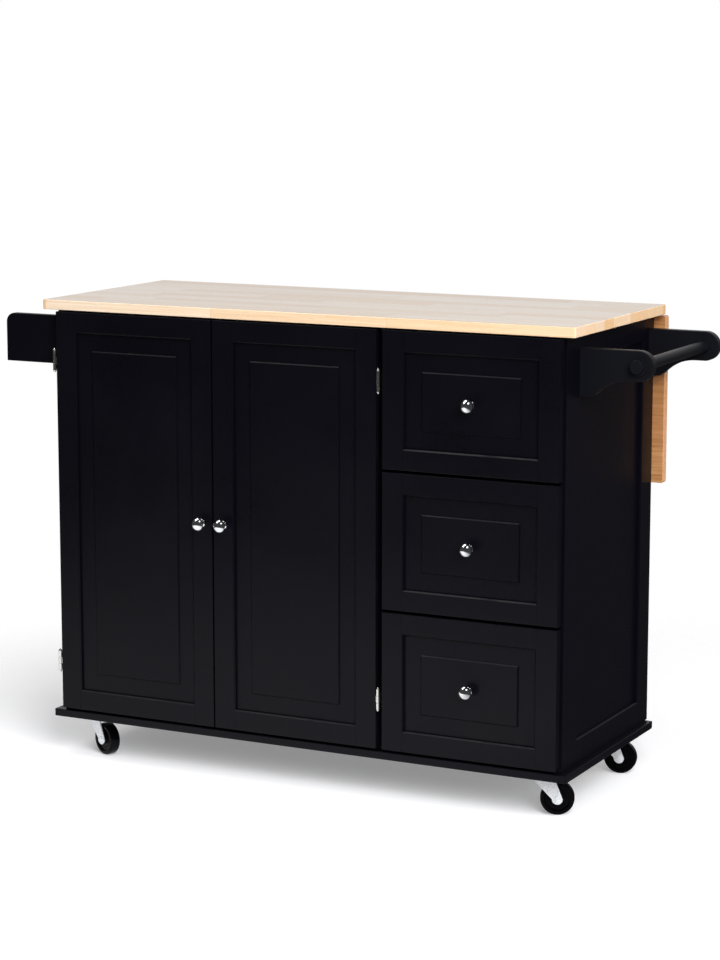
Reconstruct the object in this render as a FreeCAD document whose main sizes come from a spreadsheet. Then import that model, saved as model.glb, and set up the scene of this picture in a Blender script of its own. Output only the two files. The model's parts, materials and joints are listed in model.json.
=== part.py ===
import FreeCAD, Part
import math
import os
import re
import Sketcher

# Kitchen cart: a rolling cabinet with two doors, three drawers, a spice rack, a towel bar
# and a drop leaf on folding stays.
# X runs along the front, Y from the front to the back, Z up.
# The origin is below the middle of everything the cart takes up, on the floor.

# Driving sizes, in millimetres and degrees
sizes = {
    # worktop, drop leaf and overall height
    "cart_height": 914.0,
    "top_length": 1118.0,
    "top_depth": 457.0,
    "top_thickness": 19.0,
    "top_overhang": 23.0,
    "top_corner_radius": 4.0,
    "top_edge_radius": 1.5,
    "leaf_gap": 1.0,
    "leaf_depth": 325.0,
    "leaf_end_setback": 2.0,
    # cabinet boards
    "base_thickness": 15.0,
    "base_projection": 14.5,
    "base_front_setback": 3.0,
    "base_rear_setback": 10.0,
    "base_edge_radius": 1.5,
    "side_thickness": 16.0,
    "side_front_stile": 71.5,
    "side_rear_stile": 55.5,
    "side_bottom_rail": 47.0,
    "side_top_rail": 50.0,
    "side_panel_thickness": 9.0,
    "side_rear_setback": 2.0,
    "divider_thickness": 15.0,
    "back_thickness": 12.0,
    "back_recess": 43.0,
    "stretcher_depth": 60.0,
    "stretcher_thickness": 18.0,
    # doors and drawer fronts
    "front_thickness": 18.0,
    "front_back_gap": 2.0,
    "front_floor_gap": 5.5,
    "front_top_gap": 3.5,
    "front_edge_radius": 1.0,
    "door_side_gap": 6.5,
    "door_meeting_gap": 3.0,
    "door_drawer_gap": 12.5,
    "door_stile": 44.5,
    "door_rail": 40.0,
    "drawer_side_gap": 4.0,
    "drawer_front_width": 353.0,
    "drawer_front_gap": 6.0,
    "upper_front_share": 0.3312,
    "drawer_stile": 44.0,
    "drawer_rail": 40.0,
    "frame_bevel": 2.5,
    "frame_joint_width": 0.5,
    "frame_joint_depth": 0.3,
    "panel_recess": 7.0,
    "panel_back_setback": 3.0,
    "field_border": 34.0,
    "drawer_field_border": 34.0,
    "field_rise": 3.0,
    "field_bevel": 2.0,
    # adjustable shelf and its pins
    "shelf_rise": 385.0,
    "shelf_thickness": 15.0,
    "shelf_end_gap": 1.0,
    "shelf_front_setback": 14.0,
    "shelf_back_gap": 2.0,
    "pin_inset": 40.0,
    "pin_radius": 2.5,
    "pin_depth": 7.0,
    "pin_clearance": 0.05,
    "pin_hole_pitch": 48.0,
    "pin_tongue_length": 9.0,
    "pin_tongue_width": 11.0,
    "pin_tongue_thickness": 2.0,
    # drawer boxes and runners
    "box_rise": 14.0,
    "box_top_gap": 60.0,
    "box_wall": 12.0,
    "box_rear_gap": 18.0,
    "box_bottom_thickness": 5.0,
    "box_bottom_rise": 8.0,
    "runner_space": 13.0,
    "runner_rise": 18.0,
    "runner_height": 30.0,
    "runner_rear_gap": 27.0,
    "runner_front_setback": 3.0,
    "runner_sheet": 1.4,
    "runner_lip": 5.0,
    "runner_gap": 0.5,
    "runner_tongue_height": 8.0,
    # door hinges
    "hinge_inset": 95.5,
    "hinge_height": 38.0,
    "hinge_barrel_radius": 3.4,
    "hinge_pin_radius": 1.6,
    "hinge_sheet": 1.4,
    "hinge_axis_offset": 4.5,
    "hinge_axis_depth": 1.0,
    "hinge_knuckle_height": 13.0,
    "hinge_finial_radius": 2.6,
    "hinge_door_leaf": 14.0,
    "hinge_side_leaf": 14.0,
    "hinge_clearance": 0.4,
    "pin_fit": 0.05,
    # knobs
    "knob_reach": 27.0,
    "knob_head_radius": 13.0,
    "knob_head_height": 12.0,
    "knob_neck_radius": 5.0,
    "knob_foot_radius": 8.0,
    "knob_foot_height": 3.0,
    "knob_waist_share": 0.45,
    "knob_shoulder_share": 0.35,
    "door_knob_share": 0.5057,
    # magnetic catches
    "catch_offset": 24.0,
    "catch_width": 40.0,
    "catch_height": 14.0,
    "catch_depth": 16.0,
    "catch_edge": 2.0,
    "strike_thickness": 1.5,
    "strike_margin": 3.0,
    # spice rack
    "rack_reach": 121.0,
    "rack_rear_gap": 13.5,
    "rack_front_gap": 1.5,
    "rack_board": 15.0,
    "rack_height": 95.0,
    "rack_top_drop": 13.0,
    "rack_corner_radius": 18.0,
    "rack_floor_thickness": 12.0,
    "rack_slat_thickness": 12.0,
    "rack_slat_height": 32.0,
    "rack_slat_rise": 30.0,
    "rack_slat_setback": 4.0,
    "rack_slat_corner": 3.0,
    # towel bar
    "arm_reach": 140.0,
    "arm_thickness": 18.0,
    "arm_front": 80.0,
    "arm_rear": 11.0,
    "arm_root_height": 90.0,
    "arm_top_drop": 26.0,
    "arm_end_radius": 28.0,
    "arm_foot": 14.0,
    "arm_curve_length": 81.0,
    "arm_curve_share": 0.21,
    "arm_edge_radius": 2.0,
    "rail_radius": 11.0,
    "rail_cap_radius": 12.5,
    "rail_cap_height": 13.0,
    "rail_cap_edge": 1.5,
    "rail_cap_flange_radius": 18.0,
    "rail_cap_flange_height": 3.0,
    # drop leaf hinges
    "leaf_axis_drop": 3.5,
    "leaf_barrel_radius": 3.0,
    "leaf_pin_radius": 1.5,
    "leaf_hinge_sheet": 1.5,
    "leaf_hinge_length": 76.0,
    "leaf_knuckle_length": 26.0,
    "leaf_hinge_width": 32.0,
    "leaf_hinge_share": 0.3578,
    # folding stays
    "stay_share": 0.2683,
    "stay_drop": 150.0,
    "stay_link_length": 120.0,
    "stay_link_width": 15.0,
    "stay_link_thickness": 3.0,
    "stay_gap": 0.3,
    "stay_rivet_radius": 3.0,
    "stay_head_radius": 5.0,
    "stay_head_height": 1.5,
    "stay_plate_thickness": 2.0,
    "stay_plate_width": 24.0,
    "stay_plate_height": 84.0,
    "stay_wall_pivot": 12.0,
    "stay_leaf_pivot": 12.0,
    # casters
    "caster_height": 80.0,
    "caster_end_inset": 68.0,
    "caster_edge_inset": 61.0,
    "caster_plate_length": 60.0,
    "caster_plate_width": 46.0,
    "caster_plate_thickness": 2.5,
    "caster_plate_corner": 6.0,
    "caster_boss_radius": 17.0,
    "caster_boss_height": 4.0,
    "caster_gap": 0.3,
    "kingpin_radius": 4.0,
    "kingpin_head_radius": 7.0,
    "kingpin_head_height": 2.5,
    "caster_trail": 25.0,
    "wheel_radius": 32.0,
    "wheel_width": 22.0,
    "wheel_hub_radius": 9.0,
    "wheel_hub_width": 25.0,
    "wheel_rim_radius": 24.0,
    "wheel_dish": 4.0,
    "wheel_edge": 4.0,
    "fork_sheet": 2.5,
    "fork_side_gap": 0.5,
    "fork_crown_radius": 19.0,
    "fork_boss_radius": 10.0,
    "axle_radius": 3.0,
    "axle_head_radius": 6.0,
    "axle_head_height": 3.0,
    "front_left_swivel": -25.0,
    "front_right_swivel": 22.0,
    "rear_left_swivel": -10.0,
    "rear_right_swivel": 8.0,
}

doc = FreeCAD.newDocument("kitchen_cart")
sheet = doc.addObject("Spreadsheet::Sheet", "Sizes")
for row, (alias, number) in enumerate(sizes.items(), start=1):
    sheet.set(f"A{row}", alias)
    sheet.set(f"B{row}", str(number))
    sheet.setAlias(f"B{row}", alias)
doc.recompute()

# Points closer than this are taken as one when edges are picked
match_tolerance = 0.01
quarter_turn = "90"
half_turn = 180
whole_turn = 360

# The probe reads the value of a formula, so that a sketch starts close to its solution
probe = doc.addObject("App::FeaturePython", "Probe")
probe.addProperty("App::PropertyFloat", "Reading")

finished = []


def bound(formula):
    """Formula with every size name pointed at the sheet."""
    def point(match):
        word = match.group(0)
        return f"Sizes.{word}" if word in sizes else word
    return re.sub(r"[a-z_]+", point, formula)


def bind(thing, prop, formula):
    thing.setExpression(prop, bound(formula))


def value(formula):
    probe.setExpression("Reading", bound(formula))
    probe.recompute()
    return probe.Reading


def place(thing, x, y, z, axis=None, angle=None):
    """Put a piece at x, y, z, turned about one axis."""
    if axis is not None:
        thing.Placement.Rotation = FreeCAD.Rotation(FreeCAD.Vector(*axis), 1)
        bind(thing, "Placement.Rotation.Angle", angle)
    bind(thing, "Placement.Base.x", x)
    bind(thing, "Placement.Base.y", y)
    bind(thing, "Placement.Base.z", z)


def finish(thing, label):
    """Name a finished sub-part and keep it for export."""
    doc.recompute()
    thing.Label = label
    finished.append(thing)
    return thing


def group(label, members):
    bundle = doc.addObject("Part::Compound", label)
    bundle.Links = members
    return finish(bundle, label)


def board(name, x, y, z):
    """A plain board between two planes on each axis."""
    box = doc.addObject("Part::Box", name)
    for prop, (low, high) in zip(("Length", "Width", "Height"), (x, y, z)):
        bind(box, prop, f"{high} - {low}")
    place(box, x[0], y[0], z[0])
    return box


def cylinder(name, radius, height, at, axis=None, angle=None):
    rod = doc.addObject("Part::Cylinder", name)
    bind(rod, "Radius", radius)
    bind(rod, "Height", height)
    place(rod, *at, axis=axis, angle=angle)
    return rod


def fuse(name, shapes):
    joined = doc.addObject("Part::MultiFuse", name)
    joined.Shapes = shapes
    return joined


def cut(name, base, tool):
    rest = doc.addObject("Part::Cut", name)
    rest.Base = base
    rest.Tool = tool
    return rest


def new_body(name):
    return doc.addObject("PartDesign::Body", name)


def new_sketch(body, name, role, offset=None):
    """A sketch on one of the body's own origin planes, lifted off it by offset."""
    sketch = body.newObject("Sketcher::SketchObject", name)
    plane = next(f for f in body.Origin.OriginFeatures if f.Role == role)
    sketch.AttachmentSupport = (plane, "")
    sketch.MapMode = "FlatFace"
    if offset is not None:
        bind(sketch, "AttachmentOffset.Base.z", offset)
    return sketch


def pin_point(sketch, geometry, position, x, y):
    """Hold one point of the sketch at x, y from the origin."""
    for kind, formula in (("DistanceX", x), ("DistanceY", y)):
        rule = Sketcher.Constraint(kind, -1, 1, geometry, position, value(formula))
        index = sketch.addConstraint(rule)
        sketch.setExpression(f"Constraints[{index}]", bound(formula))


def arc_between(start, end, radius, side):
    """The short arc from start to end. side is 1 where it turns left, -1 where it turns right."""
    chord = end - start
    half = chord.Length / 2
    reach = math.sqrt(max(radius * radius - half * half, 0))
    across = FreeCAD.Vector(-chord.y, chord.x, 0).normalize()
    centre = start + chord / 2 + across * reach * side
    first, last = (start, end) if side > 0 else (end, start)
    begin = math.atan2(first.y - centre.y, first.x - centre.x)
    finish_angle = math.atan2(last.y - centre.y, last.x - centre.x)
    circle = Part.Circle(centre, FreeCAD.Vector(0, 0, 1), radius)
    return Part.ArcOfCircle(circle, begin, finish_angle)


def outline(sketch, corners):
    """A closed outline. A corner is (x, y), or (x, y, radius, side) where an arc leaves it."""
    points = [FreeCAD.Vector(value(c[0]), value(c[1]), 0) for c in corners]
    edges = []
    for index, corner in enumerate(corners):
        start = points[index]
        end = points[(index + 1) % len(points)]
        if len(corner) == 2:
            edge = sketch.addGeometry(Part.LineSegment(start, end), False)
            edges.append((edge, 1, 2))
            continue
        radius, side = corner[2], corner[3]
        edge = sketch.addGeometry(arc_between(start, end, value(radius), side), False)
        edges.append((edge, 1, 2) if side > 0 else (edge, 2, 1))
        rule = sketch.addConstraint(Sketcher.Constraint("Radius", edge, value(radius)))
        sketch.setExpression(f"Constraints[{rule}]", bound(radius))
    for index, (edge, first, last) in enumerate(edges):
        following, opening, closing = edges[(index + 1) % len(edges)]
        sketch.addConstraint(Sketcher.Constraint("Coincident", edge, last, following, opening))
        pin_point(sketch, edge, first, corners[index][0], corners[index][1])


def rectangle(sketch, x, y):
    outline(sketch, [(x[0], y[0]), (x[1], y[0]), (x[1], y[1]), (x[0], y[1])])


def round_hole(sketch, x, y, radius):
    centre = FreeCAD.Vector(value(x), value(y), 0)
    ring = Part.Circle(centre, FreeCAD.Vector(0, 0, 1), value(radius))
    edge = sketch.addGeometry(ring, False)
    rule = sketch.addConstraint(Sketcher.Constraint("Radius", edge, value(radius)))
    sketch.setExpression(f"Constraints[{rule}]", bound(radius))
    pin_point(sketch, edge, 3, x, y)


def pad(body, sketch, name, length, both_ways=False, reverse=False):
    feature = body.newObject("PartDesign::Pad", name)
    feature.Profile = sketch
    feature.Midplane = both_ways
    feature.Reversed = reverse
    bind(feature, "Length", length)
    doc.recompute()
    return feature


def pocket(body, sketch, name, depth=None, reverse=False, both_ways=False):
    """Cut the sketch's outline away, right through where no depth is given."""
    before = body.Shape.Volume
    feature = body.newObject("PartDesign::Pocket", name)
    feature.Profile = sketch
    feature.Reversed = reverse
    feature.Midplane = both_ways
    if depth is None:
        feature.Type = "ThroughAll"
    else:
        bind(feature, "Length", depth)
    doc.recompute()
    if body.Shape.Volume >= before:
        raise RuntimeError(f"{name} cut nothing away")
    return feature


def edge_names(shape, test):
    """Names of the edges whose vertices all pass the test."""
    return [
        f"Edge{number}"
        for number, edge in enumerate(shape.Edges, start=1)
        if all(test(vertex.Point) for vertex in edge.Vertexes)
    ]


def soften(body, kind, name, edges, prop, size):
    """Round or bevel the named edges of the body's last feature."""
    base = body.Tip
    feature = body.newObject(f"PartDesign::{kind}", name)
    feature.Base = (base, edges)
    bind(feature, prop, size)
    doc.recompute()
    return feature


def near(one, other):
    return abs(one - other) < match_tolerance


# Planes that several pieces share, as formulas of the sizes
middle = "((rack_reach - arm_reach) / 2)"
leaf_outer = "(top_depth + leaf_gap / 2 + leaf_axis_drop + top_thickness)"
face = f"((knob_reach - {leaf_outer}) / 2)"
side_out = (f"({middle} - top_length / 2 + top_overhang)", f"({middle} + top_length / 2 - top_overhang)")
side_in = (f"({side_out[0]} + side_thickness)", f"({side_out[1]} - side_thickness)")
top_rear = f"({face} + top_depth)"
front_back = f"({face} + front_thickness)"
carcass_front = f"({front_back} + front_back_gap)"
side_rear = f"({top_rear} - side_rear_setback)"
back_rear = f"({side_rear} - back_recess)"
back_front = f"({back_rear} - back_thickness)"
base_top = "(caster_height + base_thickness)"
top_under = "(cart_height - top_thickness)"
front_low = f"({base_top} + front_floor_gap)"
front_high = f"({top_under} - front_top_gap)"
drawer_right = f"({side_out[1]} - drawer_side_gap)"
drawer_left = f"({drawer_right} - drawer_front_width)"
door_left = f"({side_out[0]} + door_side_gap)"
door_right = f"({drawer_left} - door_drawer_gap)"
door_width = f"(({door_right} - {door_left} - door_meeting_gap) / 2)"
divider_right = f"({door_right} + door_side_gap)"
divider_left = f"({divider_right} - divider_thickness)"
stretcher_low = f"({top_under} - stretcher_depth)"
field_face = "(panel_recess - field_rise)"
arm_spacing = "(top_depth - arm_front - arm_rear)"


def framed_plate(name, width, height, stile, rail, thickness):
    """A frame round one opening, its front at y = 0 and its lower left corner at the origin.
    stile and rail are the widths of the left and right, and of the bottom and top members."""
    body = new_body(name)
    sketch = new_sketch(body, f"{name}_outline", "XZ_Plane")
    rectangle(sketch, ("0", width), ("0", height))
    pad(body, sketch, f"{name}_pad", thickness, reverse=True)
    opening = new_sketch(body, f"{name}_opening", "XZ_Plane")
    rectangle(opening, (stile[0], f"{width} - {stile[1]}"), (rail[0], f"{height} - {rail[1]}"))
    pocket(body, opening, f"{name}_cut", reverse=False)
    wide, tall = value(width), value(height)

    def inner(point):
        inside = 0 < point.x < wide and 0 < point.z < tall
        return near(point.y, 0) and inside and not near(point.x, wide) and not near(point.z, tall)

    def outer(point):
        return near(point.y, 0) and not inner(point)

    soften(body, "Chamfer", f"{name}_bevel", edge_names(body.Shape, inner), "Size", "frame_bevel")
    soften(body, "Fillet", f"{name}_edge", edge_names(body.Shape, outer), "Radius", "front_edge_radius")
    joints = new_sketch(body, f"{name}_joints", "XZ_Plane")
    bars = (("front_edge_radius", f"{rail[0]} - frame_bevel"),
            (f"{height} - {rail[1]} + frame_bevel", f"{height} - front_edge_radius"))
    for line in (f"{stile[0]} - frame_bevel", f"{width} - {stile[1]} + frame_bevel"):
        for low, high in bars:
            rectangle(joints, (f"{line} - frame_joint_width / 2", f"{line} + frame_joint_width / 2"), (low, high))
    pocket(body, joints, f"{name}_joint_cut", "frame_joint_depth", reverse=False)
    return body


def raised_panel(name, width, height, thickness, border):
    """A panel with a raised field, its border's front at y = 0."""
    body = new_body(name)
    sketch = new_sketch(body, f"{name}_outline", "XZ_Plane")
    rectangle(sketch, ("0", width), ("0", height))
    pad(body, sketch, f"{name}_pad", thickness, reverse=True)
    field = new_sketch(body, f"{name}_field", "XZ_Plane")
    rectangle(field, (border, f"{width} - {border}"), (border, f"{height} - {border}"))
    pad(body, field, f"{name}_raise", "field_rise")
    rise = -value("field_rise")
    edges = edge_names(body.Shape, lambda point: near(point.y, rise))
    soften(body, "Chamfer", f"{name}_bevel", edges, "Size", "field_bevel")
    return body


def side_panel(label, outward):
    """One end of the cabinet: a frame round a flat panel set back from the outer face."""
    depth = f"({side_rear} - {carcass_front})"
    height = f"({top_under} - {base_top})"
    rails = ("side_bottom_rail", "side_top_rail")
    if outward > 0:
        outer, corner = side_out[1], carcass_front
        stiles = ("side_front_stile", "side_rear_stile")
        inset = (side_in[1], f"({side_in[1]} + side_panel_thickness)")
    else:
        outer, corner = side_out[0], side_rear
        stiles = ("side_rear_stile", "side_front_stile")
        inset = (f"({side_in[0]} - side_panel_thickness)", side_in[0])
    frame = framed_plate(f"{label}_frame", depth, height, stiles, rails, "side_thickness")
    place(frame, outer, corner, base_top, axis=(0, 0, outward), angle=quarter_turn)
    panel = board(
        f"{label}_inset",
        inset,
        (f"({carcass_front} + side_front_stile)", f"({side_rear} - side_rear_stile)"),
        (f"({base_top} + side_bottom_rail)", f"({top_under} - side_top_rail)"),
    )
    return frame, panel


# Shelf pins sit in rows of holes near the front and the back of the left compartment
pin_rows = {
    "front": f"({carcass_front} + pin_inset)",
    "back": f"({back_front} - pin_inset)",
}
pin_level = f"({base_top} + shelf_rise - pin_tongue_thickness - pin_radius)"


def pin_holes(name, x, y):
    """Three holes above one another, from x inwards along +X by the depth of a pin."""
    drills = []
    for step in (-1, 0, 1):
        level = f"({pin_level} + pin_hole_pitch * {step})"
        drill = cylinder(
            f"{name}_{step + 1}", "pin_radius + pin_clearance", "pin_depth",
            (x, y, level), axis=(0, 1, 0), angle=quarter_turn,
        )
        drills.append(drill)
    return fuse(name, drills)


def shelf_pin(name, wall, y, inward):
    """A peg in its hole and the tongue that the shelf rests on."""
    peg_start = f"({wall} - pin_depth)" if inward > 0 else wall
    peg = cylinder(
        f"{name}_peg", "pin_radius", "pin_depth", (peg_start, y, pin_level), axis=(0, 1, 0), angle=quarter_turn,
    )
    reach = (wall, f"({wall} + pin_tongue_length)")
    if inward < 0:
        reach = (f"({wall} - pin_tongue_length)", wall)
    tongue = board(
        f"{name}_tongue",
        reach,
        (f"({y} - pin_tongue_width / 2)", f"({y} + pin_tongue_width / 2)"),
        (f"({pin_level} - pin_radius)", f"({pin_level} + pin_radius + pin_tongue_thickness)"),
    )
    return fuse(name, [peg, tongue])


def slab(name, role, x, y, thickness, corner=None, edge=None, reverse=False):
    """A flat plate with rounded corners and softened edges, its back on the origin plane."""
    body = new_body(name)
    sketch = new_sketch(body, f"{name}_outline", role)
    if corner is None:
        rectangle(sketch, x, y)
    else:
        outline(sketch, [
            (f"{x[0]} + {corner}", y[0]),
            (f"{x[1]} - {corner}", y[0], corner, 1),
            (x[1], f"{y[0]} + {corner}"),
            (x[1], f"{y[1]} - {corner}", corner, 1),
            (f"{x[1]} - {corner}", y[1]),
            (f"{x[0]} + {corner}", y[1], corner, 1),
            (x[0], f"{y[1]} - {corner}"),
            (x[0], f"{y[0]} + {corner}", corner, 1),
        ])
    pad(body, sketch, f"{name}_pad", thickness, reverse=reverse)
    if edge is not None:
        deep = value(thickness)
        across = {"XY_Plane": "z", "XZ_Plane": "y", "YZ_Plane": "x"}[role]

        def rim(point):
            level = abs(getattr(point, across))
            return near(level, 0) or near(level, deep)

        soften(body, "Fillet", f"{name}_edge", edge_names(body.Shape, rim), "Radius", edge)
    return body


def revolved(name, corners):
    """A turned solid: the outline in the XY plane goes round the Y axis."""
    body = new_body(name)
    sketch = new_sketch(body, f"{name}_outline", "XY_Plane")
    outline(sketch, corners)
    feature = body.newObject("PartDesign::Revolution", f"{name}_turn")
    feature.Profile = sketch
    feature.ReferenceAxis = (sketch, ["V_Axis"])
    feature.Angle = whole_turn
    doc.recompute()
    return body


def extruded(name, role, corners, length, both_ways=False, reverse=False):
    body = new_body(name)
    sketch = new_sketch(body, f"{name}_outline", role)
    outline(sketch, corners)
    pad(body, sketch, f"{name}_pad", length, both_ways=both_ways, reverse=reverse)
    return body


def drilled(name, role, body, x, y, radius):
    """A round hole right through the body, both ways from one of its origin planes."""
    sketch = new_sketch(body, f"{name}_circle", role)
    round_hole(sketch, x, y, radius)
    return pocket(body, sketch, name, both_ways=True)


def make_cabinet():
    base_x = (f"({side_out[0]} - base_projection)", f"({side_out[1]} + base_projection)")
    base_y = (f"({face} + base_front_setback)", f"({top_rear} - base_rear_setback)")
    base = slab("base", "XY_Plane", base_x, base_y, "base_thickness", edge="base_edge_radius")
    place(base, "0", "0", "caster_height")
    finish(base, "base_board")

    frame, panel = side_panel("right_side", 1)
    group("right_side_panel", [frame, panel])
    frame, panel = side_panel("left_side", -1)
    bore_start = f"({side_in[0]} - pin_depth)"
    front_holes = pin_holes("left_front_holes", bore_start, pin_rows["front"])
    back_holes = pin_holes("left_back_holes", bore_start, pin_rows["back"])
    drilled_frame = cut("left_side_frame_drilled", frame, front_holes)
    drilled_panel = cut("left_side_inset_drilled", panel, back_holes)
    group("left_side_panel", [drilled_frame, drilled_panel])

    divider = board(
        "divider_board", (divider_left, divider_right), (carcass_front, back_front), (base_top, top_under),
    )
    divider_holes = fuse("divider_holes", [
        pin_holes(f"divider_{row}_holes", divider_left, y) for row, y in pin_rows.items()
    ])
    finish(cut("divider", divider, divider_holes), "center_divider")

    back = board("back", side_in, (back_front, back_rear), (base_top, top_under))
    finish(back, "back_panel")

    spans = {"left": (side_in[0], divider_left), "right": (divider_right, side_in[1])}
    lines = {
        "front": (carcass_front, f"({carcass_front} + stretcher_thickness)"),
        "rear": (f"({back_front} - stretcher_thickness)", back_front),
    }
    rails = [
        board(f"stretcher_{line}_{span}", spans[span], lines[line], (stretcher_low, top_under))
        for line in lines
        for span in spans
    ]
    group("top_stretchers", rails)

    top_x = (f"({middle} - top_length / 2)", f"({middle} + top_length / 2)")
    top = slab(
        "top", "XY_Plane", top_x, (face, top_rear), "top_thickness", "top_corner_radius", "top_edge_radius",
    )
    place(top, "0", "0", top_under)
    finish(top, "tabletop")


def make_shelf():
    shelf = board(
        "shelf",
        (f"({side_in[0]} + shelf_end_gap)", f"({divider_left} - shelf_end_gap)"),
        (f"({carcass_front} + shelf_front_setback)", f"({back_front} - shelf_back_gap)"),
        (f"({base_top} + shelf_rise)", f"({base_top} + shelf_rise + shelf_thickness)"),
    )
    finish(shelf, "adjustable_shelf")
    pins = []
    for row, y in pin_rows.items():
        pins.append(shelf_pin(f"pin_left_{row}", side_in[0], y, 1))
        pins.append(shelf_pin(f"pin_right_{row}", divider_left, y, -1))
    group("shelf_pins", pins)


def make_spice_rack():
    low = f"({top_under} - rack_top_drop - rack_height)"
    front = f"({carcass_front} - rack_front_gap)"
    rear = f"({top_rear} - rack_rear_gap)"
    ends = []
    for name, y in (("front", f"({front} + rack_board)"), ("rear", rear)):
        end = extruded(f"rack_end_{name}", "XZ_Plane", [
            ("0", "0"),
            ("0", "rack_height"),
            ("rack_corner_radius - rack_reach", "rack_height", "rack_corner_radius", 1),
            ("-rack_reach", "rack_height - rack_corner_radius"),
            ("-rack_reach", "0"),
        ], "rack_board")
        place(end, side_out[0], y, low)
        ends.append(end)
    group("spice_rack_ends", ends)
    inside = (f"({front} + rack_board)", f"({rear} - rack_board)")
    floor_top = f"({low} + rack_floor_thickness)"
    floor = board("rack_floor", (f"({side_out[0]} - rack_reach)", side_out[0]), inside, (low, floor_top))
    finish(floor, "spice_rack_floor")
    slat_x = f"({side_out[0]} - rack_reach + rack_slat_setback)"
    slat_low = f"({floor_top} + rack_slat_rise)"
    slat = slab(
        "rack_slat", "XZ_Plane",
        ("0", "rack_slat_thickness"), ("0", "rack_slat_height"),
        f"({inside[1]} - {inside[0]})", corner="rack_slat_corner", reverse=True,
    )
    place(slat, slat_x, inside[0], slat_low)
    finish(slat, "spice_rack_rail")


def make_towel_bar():
    top = f"({top_under} - arm_top_drop)"
    drop = "(arm_root_height - 2 * arm_end_radius)"
    turn = f"((arm_curve_length^2 + {drop}^2) / (2 * {drop}))"
    centre = ("(arm_reach - arm_end_radius)", "(arm_root_height - arm_end_radius)")
    arms = []
    front_arm = f"({face} + arm_front)"
    starts = {"front": front_arm, "rear": f"({front_arm} + {arm_spacing} - arm_thickness)"}
    for name, y in starts.items():
        arm = extruded(f"arm_{name}", "XZ_Plane", [
            ("0", "0"),
            ("arm_foot", "0", f"{turn} * arm_curve_share", 1),
            ("arm_foot + arm_curve_length * arm_curve_share", f"{drop} * arm_curve_share",
             f"{turn} * (1 - arm_curve_share)", -1),
            ("arm_foot + arm_curve_length", drop),
            (centre[0], drop, "arm_end_radius", 1),
            ("arm_reach", centre[1], "arm_end_radius", 1),
            (centre[0], "arm_root_height"),
            ("0", "arm_root_height"),
        ], "arm_thickness", reverse=True)
        drilled(f"arm_{name}_bore", "XZ_Plane", arm, *centre, "rail_radius + pin_fit")
        deep = value("arm_thickness")
        hub = FreeCAD.Vector(value(centre[0]), 0, value(centre[1]))
        bore = value("rail_radius + pin_fit")

        def rim(point):
            across = FreeCAD.Vector(point.x, 0, point.z).sub(hub).Length
            return (near(point.y, 0) or near(point.y, deep)) and across > bore * 2 and not near(point.x, 0)

        rims = edge_names(arm.Shape, rim)
        soften(arm, "Fillet", f"arm_{name}_edge", rims, "Radius", "arm_edge_radius")
        place(arm, side_out[1], y, f"({top} - arm_root_height)")
        arms.append(arm)
    group("towel_arms", arms)

    rail_x = f"({side_out[1]} + {centre[0]})"
    rail_z = f"({top} - arm_end_radius)"
    rail = cylinder(
        "rail", "rail_radius", arm_spacing, (rail_x, front_arm, rail_z), axis=(-1, 0, 0), angle=quarter_turn,
    )
    caps = []
    ends = {"front": (front_arm, 1), "rear": (f"({front_arm} + {arm_spacing})", -1)}
    for name, (y, way) in ends.items():
        cap = revolved(f"rail_cap_{name}", [
            ("0", "0"),
            ("rail_cap_flange_radius", "0"),
            ("rail_cap_flange_radius", f"{-way} * rail_cap_flange_height"),
            ("rail_cap_radius", f"{-way} * rail_cap_flange_height"),
            ("rail_cap_radius", f"{-way} * (rail_cap_height - rail_cap_edge)", "rail_cap_edge", -way),
            ("rail_cap_radius - rail_cap_edge", f"{-way} * rail_cap_height"),
            ("0", f"{-way} * rail_cap_height"),
        ])
        place(cap, rail_x, y, rail_z)
        caps.append(cap)
    group("towel_rail", [rail] + caps)


def hinge_half(name, size, offset, width, carries_pin, foot=None):
    """Half a butt hinge. Its barrel stands on the local Z axis, and its leaf lies parallel to
    the local Y axis with its outer face at x = offset. The half that carries the pin has the
    two end knuckles, the other has the middle one. A foot bends off the leaf's far end."""
    middle_low = f"(({size['height']} - {size['knuckle']}) / 2)"
    middle_high = f"(({size['height']} + {size['knuckle']}) / 2)"
    spans = [(middle_low, middle_high)]
    if carries_pin:
        gap = size["clear"]
        spans = [("0", f"({middle_low} - {gap})"), (f"({middle_high} + {gap})", size["height"])]
    notch = f"({size['barrel']} + {size['clear']})"
    leaf_x = (f"({offset} - {size['sheet']})", offset)
    solids = [board(f"{name}_leaf", leaf_x, (notch, width), ("0", size["height"]))]
    if foot is not None:
        foot_x = (f"({offset} - {foot})", offset)
        foot_y = (f"({width} - {size['sheet']})", width)
        solids.append(board(f"{name}_foot", foot_x, foot_y, ("0", size["height"])))
    for number, (low, high) in enumerate(spans):
        solids.append(board(f"{name}_tab_{number}", leaf_x, ("0", notch), (low, high)))
        solids.append(board(f"{name}_web_{number}", ("0", offset), ("0", size["sheet"]), (low, high)))
        solids.append(cylinder(f"{name}_knuckle_{number}", size["barrel"], f"{high} - {low}", ("0", "0", low)))
    if not carries_pin:
        body = fuse(f"{name}_blank", solids)
        bore = cylinder(f"{name}_bore", f"{size['pin']} + pin_fit", size["height"], ("0", "0", "0"))
        return cut(name, body, bore)
    solids.append(cylinder(f"{name}_pin", size["pin"], size["height"], ("0", "0", "0")))
    if "finial" in size:
        for end in ("0", size["height"]):
            ball = doc.addObject("Part::Sphere", f"{name}_finial")
            bind(ball, "Radius", size["finial"])
            place(ball, "0", "0", end)
            solids.append(ball)
    return fuse(name, solids)


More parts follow.
